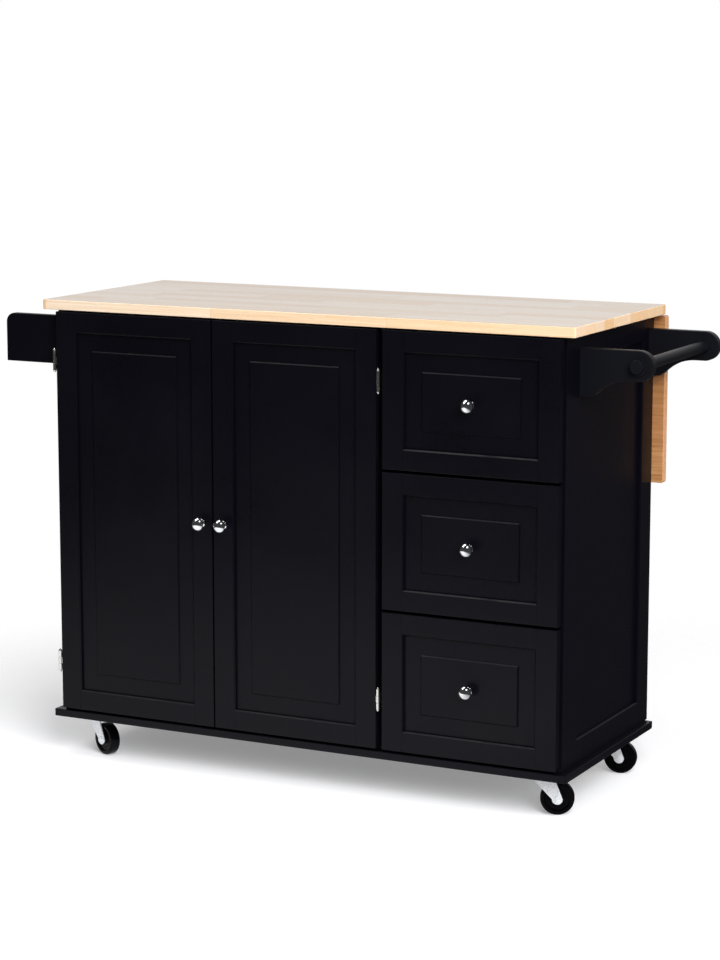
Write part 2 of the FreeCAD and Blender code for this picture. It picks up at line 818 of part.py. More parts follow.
door_hinge = {
    "height": "hinge_height",
    "knuckle": "hinge_knuckle_height",
    "barrel": "hinge_barrel_radius",
    "pin": "hinge_pin_radius",
    "sheet": "hinge_sheet",
    "clear": "hinge_clearance",
    "finial": "hinge_finial_radius",
}
hinge_side_offset = "(door_side_gap - hinge_axis_offset)"
hinge_side_depth = "(front_thickness + front_back_gap - hinge_axis_depth)"
hinge_axis_y = f"({face} + hinge_axis_depth)"
flipped_over = FreeCAD.Rotation(FreeCAD.Vector(0, 1, 0), half_turn)


def place_hinge(half, x, level, flipped):
    """Stand a hinge half on the door's axis, flipped where its leaf lies on the left."""
    if flipped:
        half.Placement.Rotation = flipped_over
    low = f"({level} + hinge_height / 2)" if flipped else f"({level} - hinge_height / 2)"
    place(half, x, hinge_axis_y, low)


def make_doors():
    height = f"({front_high} - {front_low})"
    opening = f"({door_width} - 2 * door_stile)"
    tall_opening = f"({height} - 2 * door_rail)"
    panel_thickness = "(front_thickness - panel_recess - panel_back_setback)"
    levels = (f"({front_low} + hinge_inset)", f"({front_high} - hinge_inset)")
    right_start = f"({door_right} - {door_width})"
    catch_low = f"({stretcher_low} - catch_height)"
    fixed_leaves = []
    catches = []
    doors = (
        ("left", door_left, f"({door_left} + {door_width})", f"({door_left} - hinge_axis_offset)", -1),
        ("right", right_start, right_start, f"({door_right} + hinge_axis_offset)", 1),
    )
    for name, start, meeting, axis_x, outward in doors:
        frame = framed_plate(
            f"{name}_frame", door_width, height, ("door_stile",) * 2, ("door_rail",) * 2, "front_thickness",
        )
        place(frame, start, face, front_low)
        finish(frame, f"{name}_door_frame")
        panel = raised_panel(f"{name}_panel", opening, tall_opening, panel_thickness, "field_border")
        place(panel, f"({start} + door_stile)", f"({face} + panel_recess)", f"({front_low} + door_rail)")
        finish(panel, f"{name}_door_panel")
        handle = knob(f"{name}_knob")
        knob_level = f"({front_low} + {height} * door_knob_share)"
        place(handle, f"({meeting} + door_stile / 2 * {outward})", face, knob_level)
        finish(handle, f"{name}_door_knob")

        leaves = []
        for number, level in enumerate(levels):
            fixed = hinge_half(
                f"{name}_side_leaf_{number}", door_hinge, hinge_side_offset, hinge_side_depth,
                carries_pin=True, foot="hinge_side_leaf",
            )
            place_hinge(fixed, axis_x, level, flipped=outward < 0)
            fixed_leaves.append(fixed)
            moving = hinge_half(
                f"{name}_door_leaf_{number}", door_hinge, "hinge_axis_offset", "hinge_door_leaf",
                carries_pin=False,
            )
            place_hinge(moving, axis_x, level, flipped=outward > 0)
            leaves.append(moving)
        group(f"{name}_door_hinge_leaves", leaves)

        centre = f"({meeting} + catch_offset * {outward})"
        catch = slab(
            f"{name}_catch", "XZ_Plane",
            ("-catch_width / 2", "catch_width / 2"), ("0", "catch_height"), "catch_depth",
            corner="catch_edge", reverse=True,
        )
        place(catch, centre, carcass_front, catch_low)
        catches.append(catch)
        strike = slab(
            f"{name}_strike", "XZ_Plane",
            ("strike_margin - catch_width / 2", "catch_width / 2 - strike_margin"),
            ("strike_margin / 2", "catch_height - strike_margin / 2"),
            "strike_thickness", corner="strike_margin", reverse=True,
        )
        place(strike, centre, front_back, catch_low)
        finish(strike, f"{name}_door_strike")
    group("door_hinge_side_leaves", fixed_leaves)
    group("door_catches", catches)


def knob(name):
    """A turned mushroom knob that stands out along -Y from the origin."""
    shoulder = "(knob_head_height * knob_shoulder_share)"
    dome = f"(knob_head_height - {shoulder})"
    neck_end = "(knob_reach - knob_head_height)"
    flare = "(knob_head_radius - knob_neck_radius)"
    return revolved(name, [
        ("0", "0"),
        ("knob_foot_radius", "0"),
        ("knob_foot_radius", "-knob_foot_height"),
        ("knob_neck_radius", f"-{neck_end} * knob_waist_share"),
        ("knob_neck_radius", f"-{neck_end}", f"({flare}^2 + {shoulder}^2) / (2 * {shoulder})", -1),
        ("knob_head_radius", f"-{neck_end} - {shoulder}",
         f"(knob_head_radius^2 + {dome}^2) / (2 * {dome})", -1),
        ("0", "-knob_reach"),
    ])


runner_length = f"({back_front} - {carcass_front} - runner_front_setback - runner_rear_gap)"

# The drawer fronts from the top down, each with its lower and upper edge
upper_front = f"(({front_high} - {front_low} - 2 * drawer_front_gap) * upper_front_share)"
upper_low = f"({front_high} - {upper_front})"
middle_high = f"({upper_low} - drawer_front_gap)"
middle_low = f"({middle_high} - {upper_front})"
lower_high = f"({middle_low} - drawer_front_gap)"
drawer_levels = {
    "upper_drawer": (upper_low, front_high),
    "middle_drawer": (middle_low, middle_high),
    "lower_drawer": (front_low, lower_high),
}


def runner(name, corners, wall, y, level, facing):
    """A runner section along Y. facing is 1 where it stands on a wall to its left."""
    section = extruded(name, "XZ_Plane", corners, runner_length, reverse=True)
    if facing > 0:
        place(section, wall, y, level)
    else:
        section.Placement.Rotation = FreeCAD.Rotation(FreeCAD.Vector(0, 0, 1), half_turn)
        place(section, wall, f"({y} + {runner_length})", level)
    return section


def runner_sections():
    """The fixed channel and the glide that rides in it, from the wall outwards."""
    half = "(runner_height / 2)"
    mouth = "(runner_space - runner_sheet - runner_gap)"
    lip = f"({half} - runner_sheet - runner_lip)"
    channel = [
        ("0", f"-{half}"), (mouth, f"-{half}"), (mouth, f"-{lip}"),
        (f"{mouth} - runner_sheet", f"-{lip}"), (f"{mouth} - runner_sheet", f"runner_sheet - {half}"),
        ("runner_sheet", f"runner_sheet - {half}"), ("runner_sheet", f"{half} - runner_sheet"),
        (f"{mouth} - runner_sheet", f"{half} - runner_sheet"), (f"{mouth} - runner_sheet", lip),
        (mouth, lip), (mouth, half), ("0", half),
    ]
    inner = "(runner_sheet + runner_gap)"
    outer = f"({mouth} - runner_sheet - runner_gap)"
    glide = f"({half} - runner_sheet - runner_gap)"
    neck = "(runner_tongue_height / 2)"
    plate = "(runner_space - runner_sheet)"
    flange = f"({half} - runner_sheet)"
    bar = [
        (inner, f"-{glide}"), (outer, f"-{glide}"), (outer, f"-{neck}"), (plate, f"-{neck}"),
        (plate, f"-{flange}"), ("runner_space", f"-{flange}"), ("runner_space", flange),
        (plate, flange), (plate, neck), (outer, neck), (outer, glide), (inner, glide),
    ]
    return channel, bar


def make_drawers():
    channel, bar = runner_sections()
    box_x = (f"({divider_right} + runner_space)", f"({side_in[1]} - runner_space)")
    box_y = (front_back, f"({back_front} - box_rear_gap)")
    inner_x = (f"({box_x[0]} + box_wall)", f"({box_x[1]} - box_wall)")
    inner_y = (f"({box_y[0]} + box_wall)", f"({box_y[1]} - box_wall)")
    centre_x = f"(({drawer_left} + {drawer_right}) / 2)"
    panel_thickness = "(front_thickness - panel_recess - panel_back_setback)"
    channels = []
    for name, (low, high) in drawer_levels.items():
        height = f"({high} - {low})"
        frame = framed_plate(
            f"{name}_frame", "drawer_front_width", height,
            ("drawer_stile",) * 2, ("drawer_rail",) * 2, "front_thickness",
        )
        place(frame, drawer_left, face, low)
        finish(frame, f"{name}_front_frame")
        panel = raised_panel(
            f"{name}_panel", "(drawer_front_width - 2 * drawer_stile)", f"({height} - 2 * drawer_rail)",
            panel_thickness, "drawer_field_border",
        )
        place(panel, f"({drawer_left} + drawer_stile)", f"({face} + panel_recess)", f"({low} + drawer_rail)")
        finish(panel, f"{name}_front_panel")
        handle = knob(f"{name}_pull")
        place(handle, centre_x, f"({face} + {field_face})", f"(({low} + {high}) / 2)")
        finish(handle, f"{name}_knob")

        box_low = f"({low} + box_rise)"
        box_z = (box_low, f"({high} - box_top_gap)")
        floor_z = (f"({box_low} + box_bottom_rise)", f"({box_low} + box_bottom_rise + box_bottom_thickness)")
        group(f"{name}_box", [
            board(f"{name}_left_wall", (box_x[0], inner_x[0]), box_y, box_z),
            board(f"{name}_right_wall", (inner_x[1], box_x[1]), box_y, box_z),
            board(f"{name}_front_wall", inner_x, (box_y[0], inner_y[0]), box_z),
            board(f"{name}_rear_wall", inner_x, (inner_y[1], box_y[1]), box_z),
            board(f"{name}_floor", inner_x, inner_y, floor_z),
        ])
        level = f"({box_low} + runner_rise)"
        rail_y = f"({carcass_front} + runner_front_setback)"
        bar_y = f"({front_back} + runner_front_setback)"
        sides = (("left", divider_right, 1), ("right", side_in[1], -1))
        bars = []
        for side, wall, facing in sides:
            channels.append(runner(f"{name}_{side}_channel", channel, wall, rail_y, level, facing))
            bars.append(runner(f"{name}_{side}_bar", bar, wall, bar_y, level, facing))
        group(f"{name}_runners", bars)
    group("drawer_runner_channels", channels)


# The drop leaf turns about this line, just below and behind the worktop's rear edge
leaf_axis_y = f"({top_rear} + leaf_gap / 2)"
leaf_axis_z = f"({top_under} - leaf_axis_drop)"
leaf_inner = f"({leaf_axis_y} + leaf_axis_drop)"
leaf_hinge = {
    "height": "leaf_hinge_length",
    "knuckle": "leaf_knuckle_length",
    "barrel": "leaf_barrel_radius",
    "pin": "leaf_pin_radius",
    "sheet": "leaf_hinge_sheet",
    "clear": "hinge_clearance",
}


def along(x_axis, y_axis, z_axis):
    """The turn that carries the local axes to these directions."""
    return FreeCAD.Rotation(FreeCAD.Vector(*x_axis), FreeCAD.Vector(*y_axis), FreeCAD.Vector(*z_axis), "ZXY")


def make_drop_leaf():
    half_length = "(top_length / 2 - leaf_end_setback)"
    leaf = slab(
        "leaf", "XZ_Plane",
        (f"({middle} - {half_length})", f"({middle} + {half_length})"),
        (f"({leaf_axis_z} - leaf_gap / 2 - leaf_depth)", f"({leaf_axis_z} - leaf_gap / 2)"),
        "top_thickness", "top_corner_radius", "top_edge_radius", reverse=True,
    )
    place(leaf, "0", leaf_inner, "0")
    finish(leaf, "drop_leaf")
    fixed_leaves = []
    moving_leaves = []
    for number, step in enumerate((-1, 0, 1)):
        centre = f"({middle} + top_length * leaf_hinge_share * {step})"
        fixed = hinge_half(
            f"top_hinge_{number}", leaf_hinge, "leaf_axis_drop", "leaf_hinge_width", carries_pin=True,
        )
        fixed.Placement.Rotation = along((0, 0, 1), (0, -1, 0), (1, 0, 0))
        place(fixed, f"({centre} - leaf_hinge_length / 2)", leaf_axis_y, leaf_axis_z)
        fixed_leaves.append(fixed)
        moving = hinge_half(
            f"leaf_hinge_{number}", leaf_hinge, "leaf_axis_drop", "leaf_hinge_width", carries_pin=False,
        )
        moving.Placement.Rotation = along((0, 1, 0), (0, 0, -1), (-1, 0, 0))
        place(moving, f"({centre} + leaf_hinge_length / 2)", leaf_axis_y, leaf_axis_z)
        moving_leaves.append(moving)
    group("leaf_hinge_top_leaves", fixed_leaves)
    group("leaf_hinge_drop_leaves", moving_leaves)


# Folding stays: the lower link hangs from a bracket on the back panel, the upper link from
# a bracket on the leaf. The links lie side by side, so each has its own layer along X.
stay_pivot_z = f"({leaf_axis_z} - stay_drop)"
wall_pivot_y = f"({back_rear} + stay_wall_pivot)"
leaf_pivot_y = f"({leaf_inner} - stay_leaf_pivot)"
stay_lean = f"asin(({leaf_pivot_y} - {wall_pivot_y}) / 2 / stay_link_length)"
lower_layer = "(stay_plate_thickness + stay_gap)"
upper_layer = f"({lower_layer} + stay_link_thickness + stay_gap)"
leaf_ear_layer = f"({upper_layer} + stay_link_thickness + stay_gap)"


def stay_bracket(name, ear_low, pivot_y, plate_y, pin_span, head_low):
    """A screwed plate with an ear at right angles, and the rivet that a link turns on."""
    ear_high = f"({ear_low} + stay_plate_thickness)"
    ear_y = (pivot_y, plate_y[0]) if plate_y[2] > 0 else (plate_y[1], pivot_y)
    half = "(stay_link_width / 2)"
    plate = board(
        f"{name}_plate",
        (f"({ear_low} + stay_plate_thickness / 2 - stay_plate_width / 2)",
         f"({ear_low} + stay_plate_thickness / 2 + stay_plate_width / 2)"),
        plate_y[:2],
        (f"({stay_pivot_z} - stay_plate_height / 2)", f"({stay_pivot_z} + stay_plate_height / 2)"),
    )
    ear = board(f"{name}_ear", (ear_low, ear_high), ear_y, (f"({stay_pivot_z} - {half})", f"({stay_pivot_z} + {half})"))
    at = (pivot_y, stay_pivot_z)
    turn = {"axis": (0, 1, 0), "angle": quarter_turn}
    nose = cylinder(f"{name}_nose", half, "stay_plate_thickness", (ear_low,) + at, **turn)
    pin_length = f"{pin_span[1]} - {pin_span[0]}"
    pin = cylinder(f"{name}_rivet", "stay_rivet_radius", pin_length, (pin_span[0],) + at, **turn)
    head = cylinder(f"{name}_head", "stay_head_radius", "stay_head_height", (head_low,) + at, **turn)
    return fuse(name, [plate, ear, nose, pin, head])


def stay_link(name, x, pivot_y, layer, lean, head_side):
    """A flat link that hangs from its pivot, with the knee rivet's head at its far end."""
    half = "(stay_link_width / 2)"
    link = extruded(f"{name}_bar", "YZ_Plane", [
        (f"-{half}", "-stay_link_length", half, 1),
        ("0", f"-stay_link_length - {half}", half, 1),
        (half, "-stay_link_length"),
        (half, "0", half, 1),
        ("0", half, half, 1),
        (f"-{half}", "0"),
    ], "stay_link_thickness")
    drilled(f"{name}_eye", "YZ_Plane", link, "0", "0", "stay_rivet_radius + pin_fit")
    head_x = "stay_link_thickness" if head_side > 0 else "-stay_head_height"
    head = cylinder(
        f"{name}_knee", "stay_head_radius", "stay_head_height", (head_x, "0", "-stay_link_length"),
        axis=(0, 1, 0), angle=quarter_turn,
    )
    joined = fuse(name, [link, head])
    place(joined, f"({x} + {layer})", pivot_y, stay_pivot_z, axis=(head_side * -1, 0, 0), angle=lean)
    return joined


def make_stays():
    wall_plates = []
    leaf_plates = []
    wall_y = (back_rear, f"({back_rear} + stay_plate_thickness)", -1)
    leaf_y = (f"({leaf_inner} - stay_plate_thickness)", leaf_inner, 1)
    for side, step in (("left", -1), ("right", 1)):
        x = f"({middle} + top_length * stay_share * {step})"
        ear_end = f"({x} + stay_plate_thickness)"
        wall_head = f"({x} + {upper_layer})"
        wall_plates.append(stay_bracket(
            f"{side}_wall_plate", x, wall_pivot_y, wall_y, (ear_end, wall_head), wall_head,
        ))
        ear = f"({x} + {leaf_ear_layer})"
        leaf_head_end = f"({x} + {upper_layer} - stay_gap)"
        leaf_plates.append(stay_bracket(
            f"{side}_leaf_plate", ear, leaf_pivot_y, leaf_y, (leaf_head_end, ear),
            f"({leaf_head_end} - stay_head_height)",
        ))
        lower = stay_link(f"{side}_lower", x, wall_pivot_y, lower_layer, stay_lean, -1)
        finish(lower, f"{side}_stay_lower_link")
        upper = stay_link(f"{side}_upper", x, leaf_pivot_y, upper_layer, stay_lean, 1)
        finish(upper, f"{side}_stay_upper_link")
    group("stay_wall_plates", wall_plates)
    group("stay_leaf_plates", leaf_plates)


# Levels inside a caster, from the top plate down
boss_low = "(caster_height - caster_plate_thickness - caster_boss_height)"
crown_high = f"({boss_low} - caster_gap)"
crown_low = f"({crown_high} - fork_sheet)"
channel_width = "(wheel_hub_width + 2 * fork_side_gap)"
fork_width = f"({channel_width} + 2 * fork_sheet)"


def caster_plate(name, x, y):
    """The screwed plate with its swivel boss and the riveted kingpin."""
    plate = slab(
        f"{name}_sheet", "XY_Plane",
        ("-caster_plate_length / 2", "caster_plate_length / 2"),
        ("-caster_plate_width / 2", "caster_plate_width / 2"),
        "caster_plate_thickness", corner="caster_plate_corner",
    )
    place(plate, "0", "0", "caster_height - caster_plate_thickness")
    boss = cylinder(f"{name}_boss", "caster_boss_radius", "caster_boss_height", ("0", "0", boss_low))
    head_high = f"({crown_low} - caster_gap)"
    head_low = f"({head_high} - kingpin_head_height)"
    shank = cylinder(f"{name}_shank", "kingpin_radius", f"{boss_low} - {head_high}", ("0", "0", head_high))
    head = cylinder(f"{name}_head", "kingpin_head_radius", "kingpin_head_height", ("0", "0", head_low))
    solid = fuse(name, [plate, boss, shank, head])
    place(solid, x, y, "0")
    return solid


def fork(name):
    """A pressed fork: crown, two legs to the axle, and the riveted axle."""
    legs = extruded(name, "XZ_Plane", [
        ("-fork_crown_radius", crown_high),
        ("-fork_crown_radius", f"{crown_high} - 2 * fork_sheet"),
        ("caster_trail - fork_boss_radius", "wheel_radius", "fork_boss_radius", 1),
        ("caster_trail", "wheel_radius - fork_boss_radius", "fork_boss_radius", 1),
        ("caster_trail + fork_boss_radius", "wheel_radius"),
        ("fork_crown_radius", crown_high),
    ], fork_width, both_ways=True)
    disc = new_sketch(legs, f"{name}_disc", "XY_Plane", crown_low)
    round_hole(disc, "0", "0", "fork_crown_radius")
    pad(legs, disc, f"{name}_crown", "fork_sheet")
    channel = new_sketch(legs, f"{name}_channel", "YZ_Plane")
    rectangle(channel, (f"-{channel_width} / 2", f"{channel_width} / 2"), ("0", crown_low))
    pocket(legs, channel, f"{name}_gap", both_ways=True)
    bore = new_sketch(legs, f"{name}_bore", "XY_Plane", crown_high)
    round_hole(bore, "0", "0", "kingpin_radius + pin_fit")
    pocket(legs, bore, f"{name}_eye", depth="2 * fork_sheet")
    axle = new_sketch(legs, f"{name}_axle_circle", "XZ_Plane")
    round_hole(axle, "caster_trail", "wheel_radius", "axle_radius")
    pad(legs, axle, f"{name}_axle", fork_width, both_ways=True)
    for side, lift, reverse in (("near", f"{fork_width} / 2", False), ("far", f"-{fork_width} / 2", True)):
        ring = new_sketch(legs, f"{name}_{side}_ring", "XZ_Plane", lift)
        round_hole(ring, "caster_trail", "wheel_radius", "axle_head_radius")
        pad(legs, ring, f"{name}_{side}_head", "axle_head_height", reverse=reverse)
    return legs


def wheel(name):
    """A turned wheel with a dished web and rounded tread edges."""
    half = "(wheel_width / 2)"
    hub = "(wheel_hub_width / 2)"
    web = f"({half} - wheel_dish)"
    bore = "(axle_radius + pin_fit)"
    shoulder = "(wheel_radius - wheel_edge)"
    return revolved(name, [
        (bore, f"-{hub}"),
        ("wheel_hub_radius", f"-{hub}"),
        ("wheel_hub_radius", f"-{web}"),
        ("wheel_rim_radius", f"-{web}"),
        ("wheel_rim_radius", f"-{half}"),
        (shoulder, f"-{half}", "wheel_edge", 1),
        ("wheel_radius", f"wheel_edge - {half}"),
        ("wheel_radius", f"{half} - wheel_edge", "wheel_edge", 1),
        (shoulder, half),
        ("wheel_rim_radius", half),
        ("wheel_rim_radius", web),
        ("wheel_hub_radius", web),
        ("wheel_hub_radius", hub),
        (bore, hub),
    ])


def make_casters():
    left = f"({side_out[0]} - base_projection + caster_end_inset)"
    right = f"({side_out[1]} + base_projection - caster_end_inset)"
    front = f"({face} + base_front_setback + caster_edge_inset)"
    rear = f"({top_rear} - base_rear_setback - caster_edge_inset)"
    corners = {
        "front_left": (left, front),
        "front_right": (right, front),
        "rear_left": (left, rear),
        "rear_right": (right, rear),
    }
    plates = []
    for name, (x, y) in corners.items():
        angle = f"{name}_swivel"
        plates.append(caster_plate(f"{name}_plate", x, y))
        legs = fork(f"{name}_fork")
        place(legs, x, y, "0", axis=(0, 0, 1), angle=angle)
        finish(legs, f"{name}_caster_fork")
        roller = wheel(f"{name}_roller")
        wheel_x = f"({x} + caster_trail * cos({angle}))"
        wheel_y = f"({y} + caster_trail * sin({angle}))"
        place(roller, wheel_x, wheel_y, "wheel_radius", axis=(0, 0, 1), angle=angle)
        finish(roller, f"{name}_caster_wheel")
    group("caster_plates", plates)


make_cabinet()
make_shelf()
make_spice_rack()
make_towel_bar()
make_doors()
make_drawers()
make_drop_leaf()
make_stays()
make_casters()

doc.recompute()
failed = [thing.Name for thing in doc.Objects if {"Invalid", "Error"} & set(thing.State)]
if failed:
    raise RuntimeError(f"these objects failed: {failed}")
for piece in finished:
    if piece.Shape.isNull() or not piece.Shape.isValid():
        raise RuntimeError(f"{piece.Label} has no valid shape")

os.makedirs("parts", exist_ok=True)
for piece in finished:
    piece.Shape.exportStep(f"parts/{piece.Label}.step")
print(f"{len(finished)} sub-parts written")
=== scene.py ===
import json
import math
import bpy
from mathutils import Matrix, Vector


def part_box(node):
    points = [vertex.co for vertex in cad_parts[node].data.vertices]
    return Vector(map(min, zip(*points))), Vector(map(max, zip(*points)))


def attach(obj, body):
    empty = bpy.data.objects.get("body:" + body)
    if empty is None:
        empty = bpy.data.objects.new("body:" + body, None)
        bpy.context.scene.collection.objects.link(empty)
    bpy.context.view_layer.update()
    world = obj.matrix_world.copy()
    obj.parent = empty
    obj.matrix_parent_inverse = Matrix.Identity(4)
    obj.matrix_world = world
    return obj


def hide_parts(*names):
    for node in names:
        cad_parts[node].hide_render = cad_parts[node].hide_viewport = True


# A rolling kitchen cart with a drop leaf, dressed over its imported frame.
# Everything is in metres; mm turns a size written in millimetres into one.
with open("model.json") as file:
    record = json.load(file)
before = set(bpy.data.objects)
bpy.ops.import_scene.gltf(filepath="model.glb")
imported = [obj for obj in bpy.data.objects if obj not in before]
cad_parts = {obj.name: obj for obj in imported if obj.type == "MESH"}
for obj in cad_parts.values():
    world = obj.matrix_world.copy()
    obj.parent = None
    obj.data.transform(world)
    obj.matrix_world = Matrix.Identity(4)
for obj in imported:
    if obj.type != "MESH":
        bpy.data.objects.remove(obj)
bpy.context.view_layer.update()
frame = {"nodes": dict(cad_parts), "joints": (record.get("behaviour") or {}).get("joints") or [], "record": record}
mm = 0.001
nodes = frame["nodes"]
record = frame["record"]
joints = {joint["name"]: joint for joint in frame["joints"]}
bodyOf = {node: body for body, names in record["behaviour"]["bodies"].items() for node in names}
slotOf = {part["node"]: part["material_slot"] for part in record["subparts"]}
bpy.ops.object.select_all(action="DESELECT")
bpy.context.scene.view_settings.view_transform = "Standard"
print("frame loaded:", len(nodes), "nodes")


# The camera stands where the photograph was taken from, fitted to the cabinet's corners
camera = {
    "place": (2.3233, -4.5811, 1.4318),
    "turnLeft": 26.793,
    "tiltDown": 9.566,
    "focalPixels": 2672.1,
    "pictureHeight": 960,
    "sensorHeight": 24.0,
}


def makeCamera():
    lens = bpy.data.cameras.new("photoCamera")
    lens.sensor_fit = "VERTICAL"
    lens.sensor_height = camera["sensorHeight"]
    lens.lens = camera["focalPixels"] / camera["pictureHeight"] * camera["sensorHeight"]
    holder = bpy.data.objects.new("photoCamera", lens)
    bpy.context.scene.collection.objects.link(holder)
    holder.location = camera["place"]
    tilt = math.radians(90 - camera["tiltDown"])
    holder.rotation_euler = (tilt, 0, math.radians(camera["turnLeft"]))
    bpy.context.scene.camera = holder


# The sRGB curve of a display: a straight foot, and a power above it
displayCurve = {"footEnd": 0.04045, "footSlope": 12.92, "offset": 0.055, "power": 2.4}


def linearColour(code):
    # sRGB hex to the linear colour that the sockets hold
    linear = []
    for start in (1, 3, 5):
        part = int(code[start:start + 2], 16) / 255
        if part <= displayCurve["footEnd"]:
            linear.append(part / displayCurve["footSlope"])
        else:
            raised = (part + displayCurve["offset"]) / (1 + displayCurve["offset"])
            linear.append(raised ** displayCurve["power"])
    return (*linear, 1.0)


# a Mix node's sockets share their names, so they are called by number
mixShare = 0
valueA, valueB = 2, 3
colourA, colourB = 6, 7
mixedColour = 2

# a noise hardly leaves this stretch, so a range that follows a noise is spread over it
noiseReach = {"From Min": 0.3, "From Max": 0.7}


def addNode(tree, kind, settings=None, inputs=None, feeds=None):
    # an input is given a plain value, or the output that feeds it; feeds names what the node drives
    node = tree.nodes.new(kind)
    for key, setting in (settings or {}).items():
        setattr(node, key, setting)
    for key, source in (inputs or {}).items():
        if isinstance(source, bpy.types.NodeSocket):
            tree.links.new(source, node.inputs[key])
        else:
            node.inputs[key].default_value = source
    for key, sockets in (feeds or {}).items():
        for socket in sockets:
            tree.links.new(node.outputs[key], socket)
    return node


def newFinish(name, settings):
    # a principled material with its plain settings, and the place on the piece
    material = bpy.data.materials.new(name)
    material.use_nodes = True
    tree = material.node_tree
    shader = tree.nodes["Principled BSDF"]
    for key, setting in settings.items():
        shader.inputs[key].default_value = setting
    place = addNode(tree, "ShaderNodeTexCoord").outputs["Object"]
    return material, tree, shader, place


# A white sweep behind the cart, a dim room in front of it, a soft key light and a top light
studio = {
    "backdropColour": "#FFFFFF",
    "backdrop": 1.0,
    "fillGlow": 0.27,
    "roomGlow": 0.05,
    "sweepGlow": 0.66,
    # where gloss starts to see the sweep, and where it sees it in full
    "sweepEdges": {"X": (0.55, -0.1), "Y": (0.1, 0.5), "Z": (-0.06, 0.03)},
    # name: place, aim, size, watts, and whether gloss shows the lamp
    "lamps": {
        "keyBox": ((3.4, -3.4, 3.0), (0.0, 0.0, 0.55), 2.8, 335.0, False),
        "glintBox": ((1.6, -2.4, 3.4), (0.0, 0.0, 0.6), 1.1, 14.0, True),
        "topBox": ((-0.9, -0.7, 3.3), (0.0, 0.0, 0.4), 1.0, 15.0, True),
        "leftBox": ((-2.2, -1.6, 3.6), (0.0, 0.0, 0.5), 1.3, 20.0, True),
        "rightBox": ((4.5, 0.5, 1.3), (0.0, 0.0, 0.6), 1.6, 42.0, False),
    },
}


def makeBackdrop():
    world = bpy.data.worlds.new("whiteSweep")
    bpy.context.scene.world = world
    world.use_nodes = True
    tree = world.node_tree
    background = tree.nodes["Background"]
    background.inputs["Color"].default_value = linearColour(studio["backdropColour"])
    path = addNode(tree, "ShaderNodeLightPath")
    seen = addNode(tree, "ShaderNodeMath", {"operation": "MAXIMUM"}, {
        0: path.outputs["Is Camera Ray"], 1: path.outputs["Is Transmission Ray"],
    })
    # what gloss sees: the white sweep behind the cart, the dim room everywhere else
    direction = addNode(tree, "ShaderNodeTexCoord").outputs["Generated"]
    sides = addNode(tree, "ShaderNodeSeparateXYZ", inputs={0: direction})
    sweep = 1.0
    for axis, (start, full) in studio["sweepEdges"].items():
        within = addNode(tree, "ShaderNodeMapRange", {"interpolation_type": "SMOOTHSTEP"}, {
            "Value": sides.outputs[axis], "From Min": start, "From Max": full,
        })
        sweep = addNode(tree, "ShaderNodeMath", {"operation": "MULTIPLY"}, {
            0: sweep, 1: within.outputs[0],
        }).outputs[0]
    mirrored = addNode(tree, "ShaderNodeMix", {"data_type": "FLOAT"}, {
        mixShare: sweep, valueA: studio["roomGlow"], valueB: studio["sweepGlow"],
    })
    unseen = addNode(tree, "ShaderNodeMix", {"data_type": "FLOAT"}, {
        mixShare: path.outputs["Is Glossy Ray"], valueA: studio["fillGlow"], valueB: mirrored.outputs[0],
    })
    addNode(tree, "ShaderNodeMix", {"data_type": "FLOAT"}, {
        mixShare: seen.outputs[0], valueA: unseen.outputs[0], valueB: studio["backdrop"],
    }, {0: [background.inputs["Strength"]]})


def makeLamps():
    for name, (place, aim, size, watts, inGloss) in studio["lamps"].items():
        light = bpy.data.lights.new(name, "AREA")
        light.size = size
        light.energy = watts
        lamp = bpy.data.objects.new(name, light)
        bpy.context.scene.collection.objects.link(lamp)
        lamp.location = place
        lamp.rotation_euler = (Vector(aim) - Vector(place)).to_track_quat("-Z", "Y").to_euler()
        lamp.visible_glossy = inGloss


# A round sheet of white paper that fades out before its edge
floorPaper = {
    "settings": {"Roughness": 0.9, "Specular IOR Level": 0.1},
    "colour": "#F2F2F4",
    "glowColour": "#FFFFFF",
    "glow": 0.25,
    "radius": 6.0,
    "sides": 96,
    # it fades around a centre, from one distance to another, and in gloss around another centre
    "seen": ((0.2, -0.1, 0.0), 0.85, 1.75),
    "inGloss": ((-0.6, -0.8, 0.0), 0.6, 1.7),
}


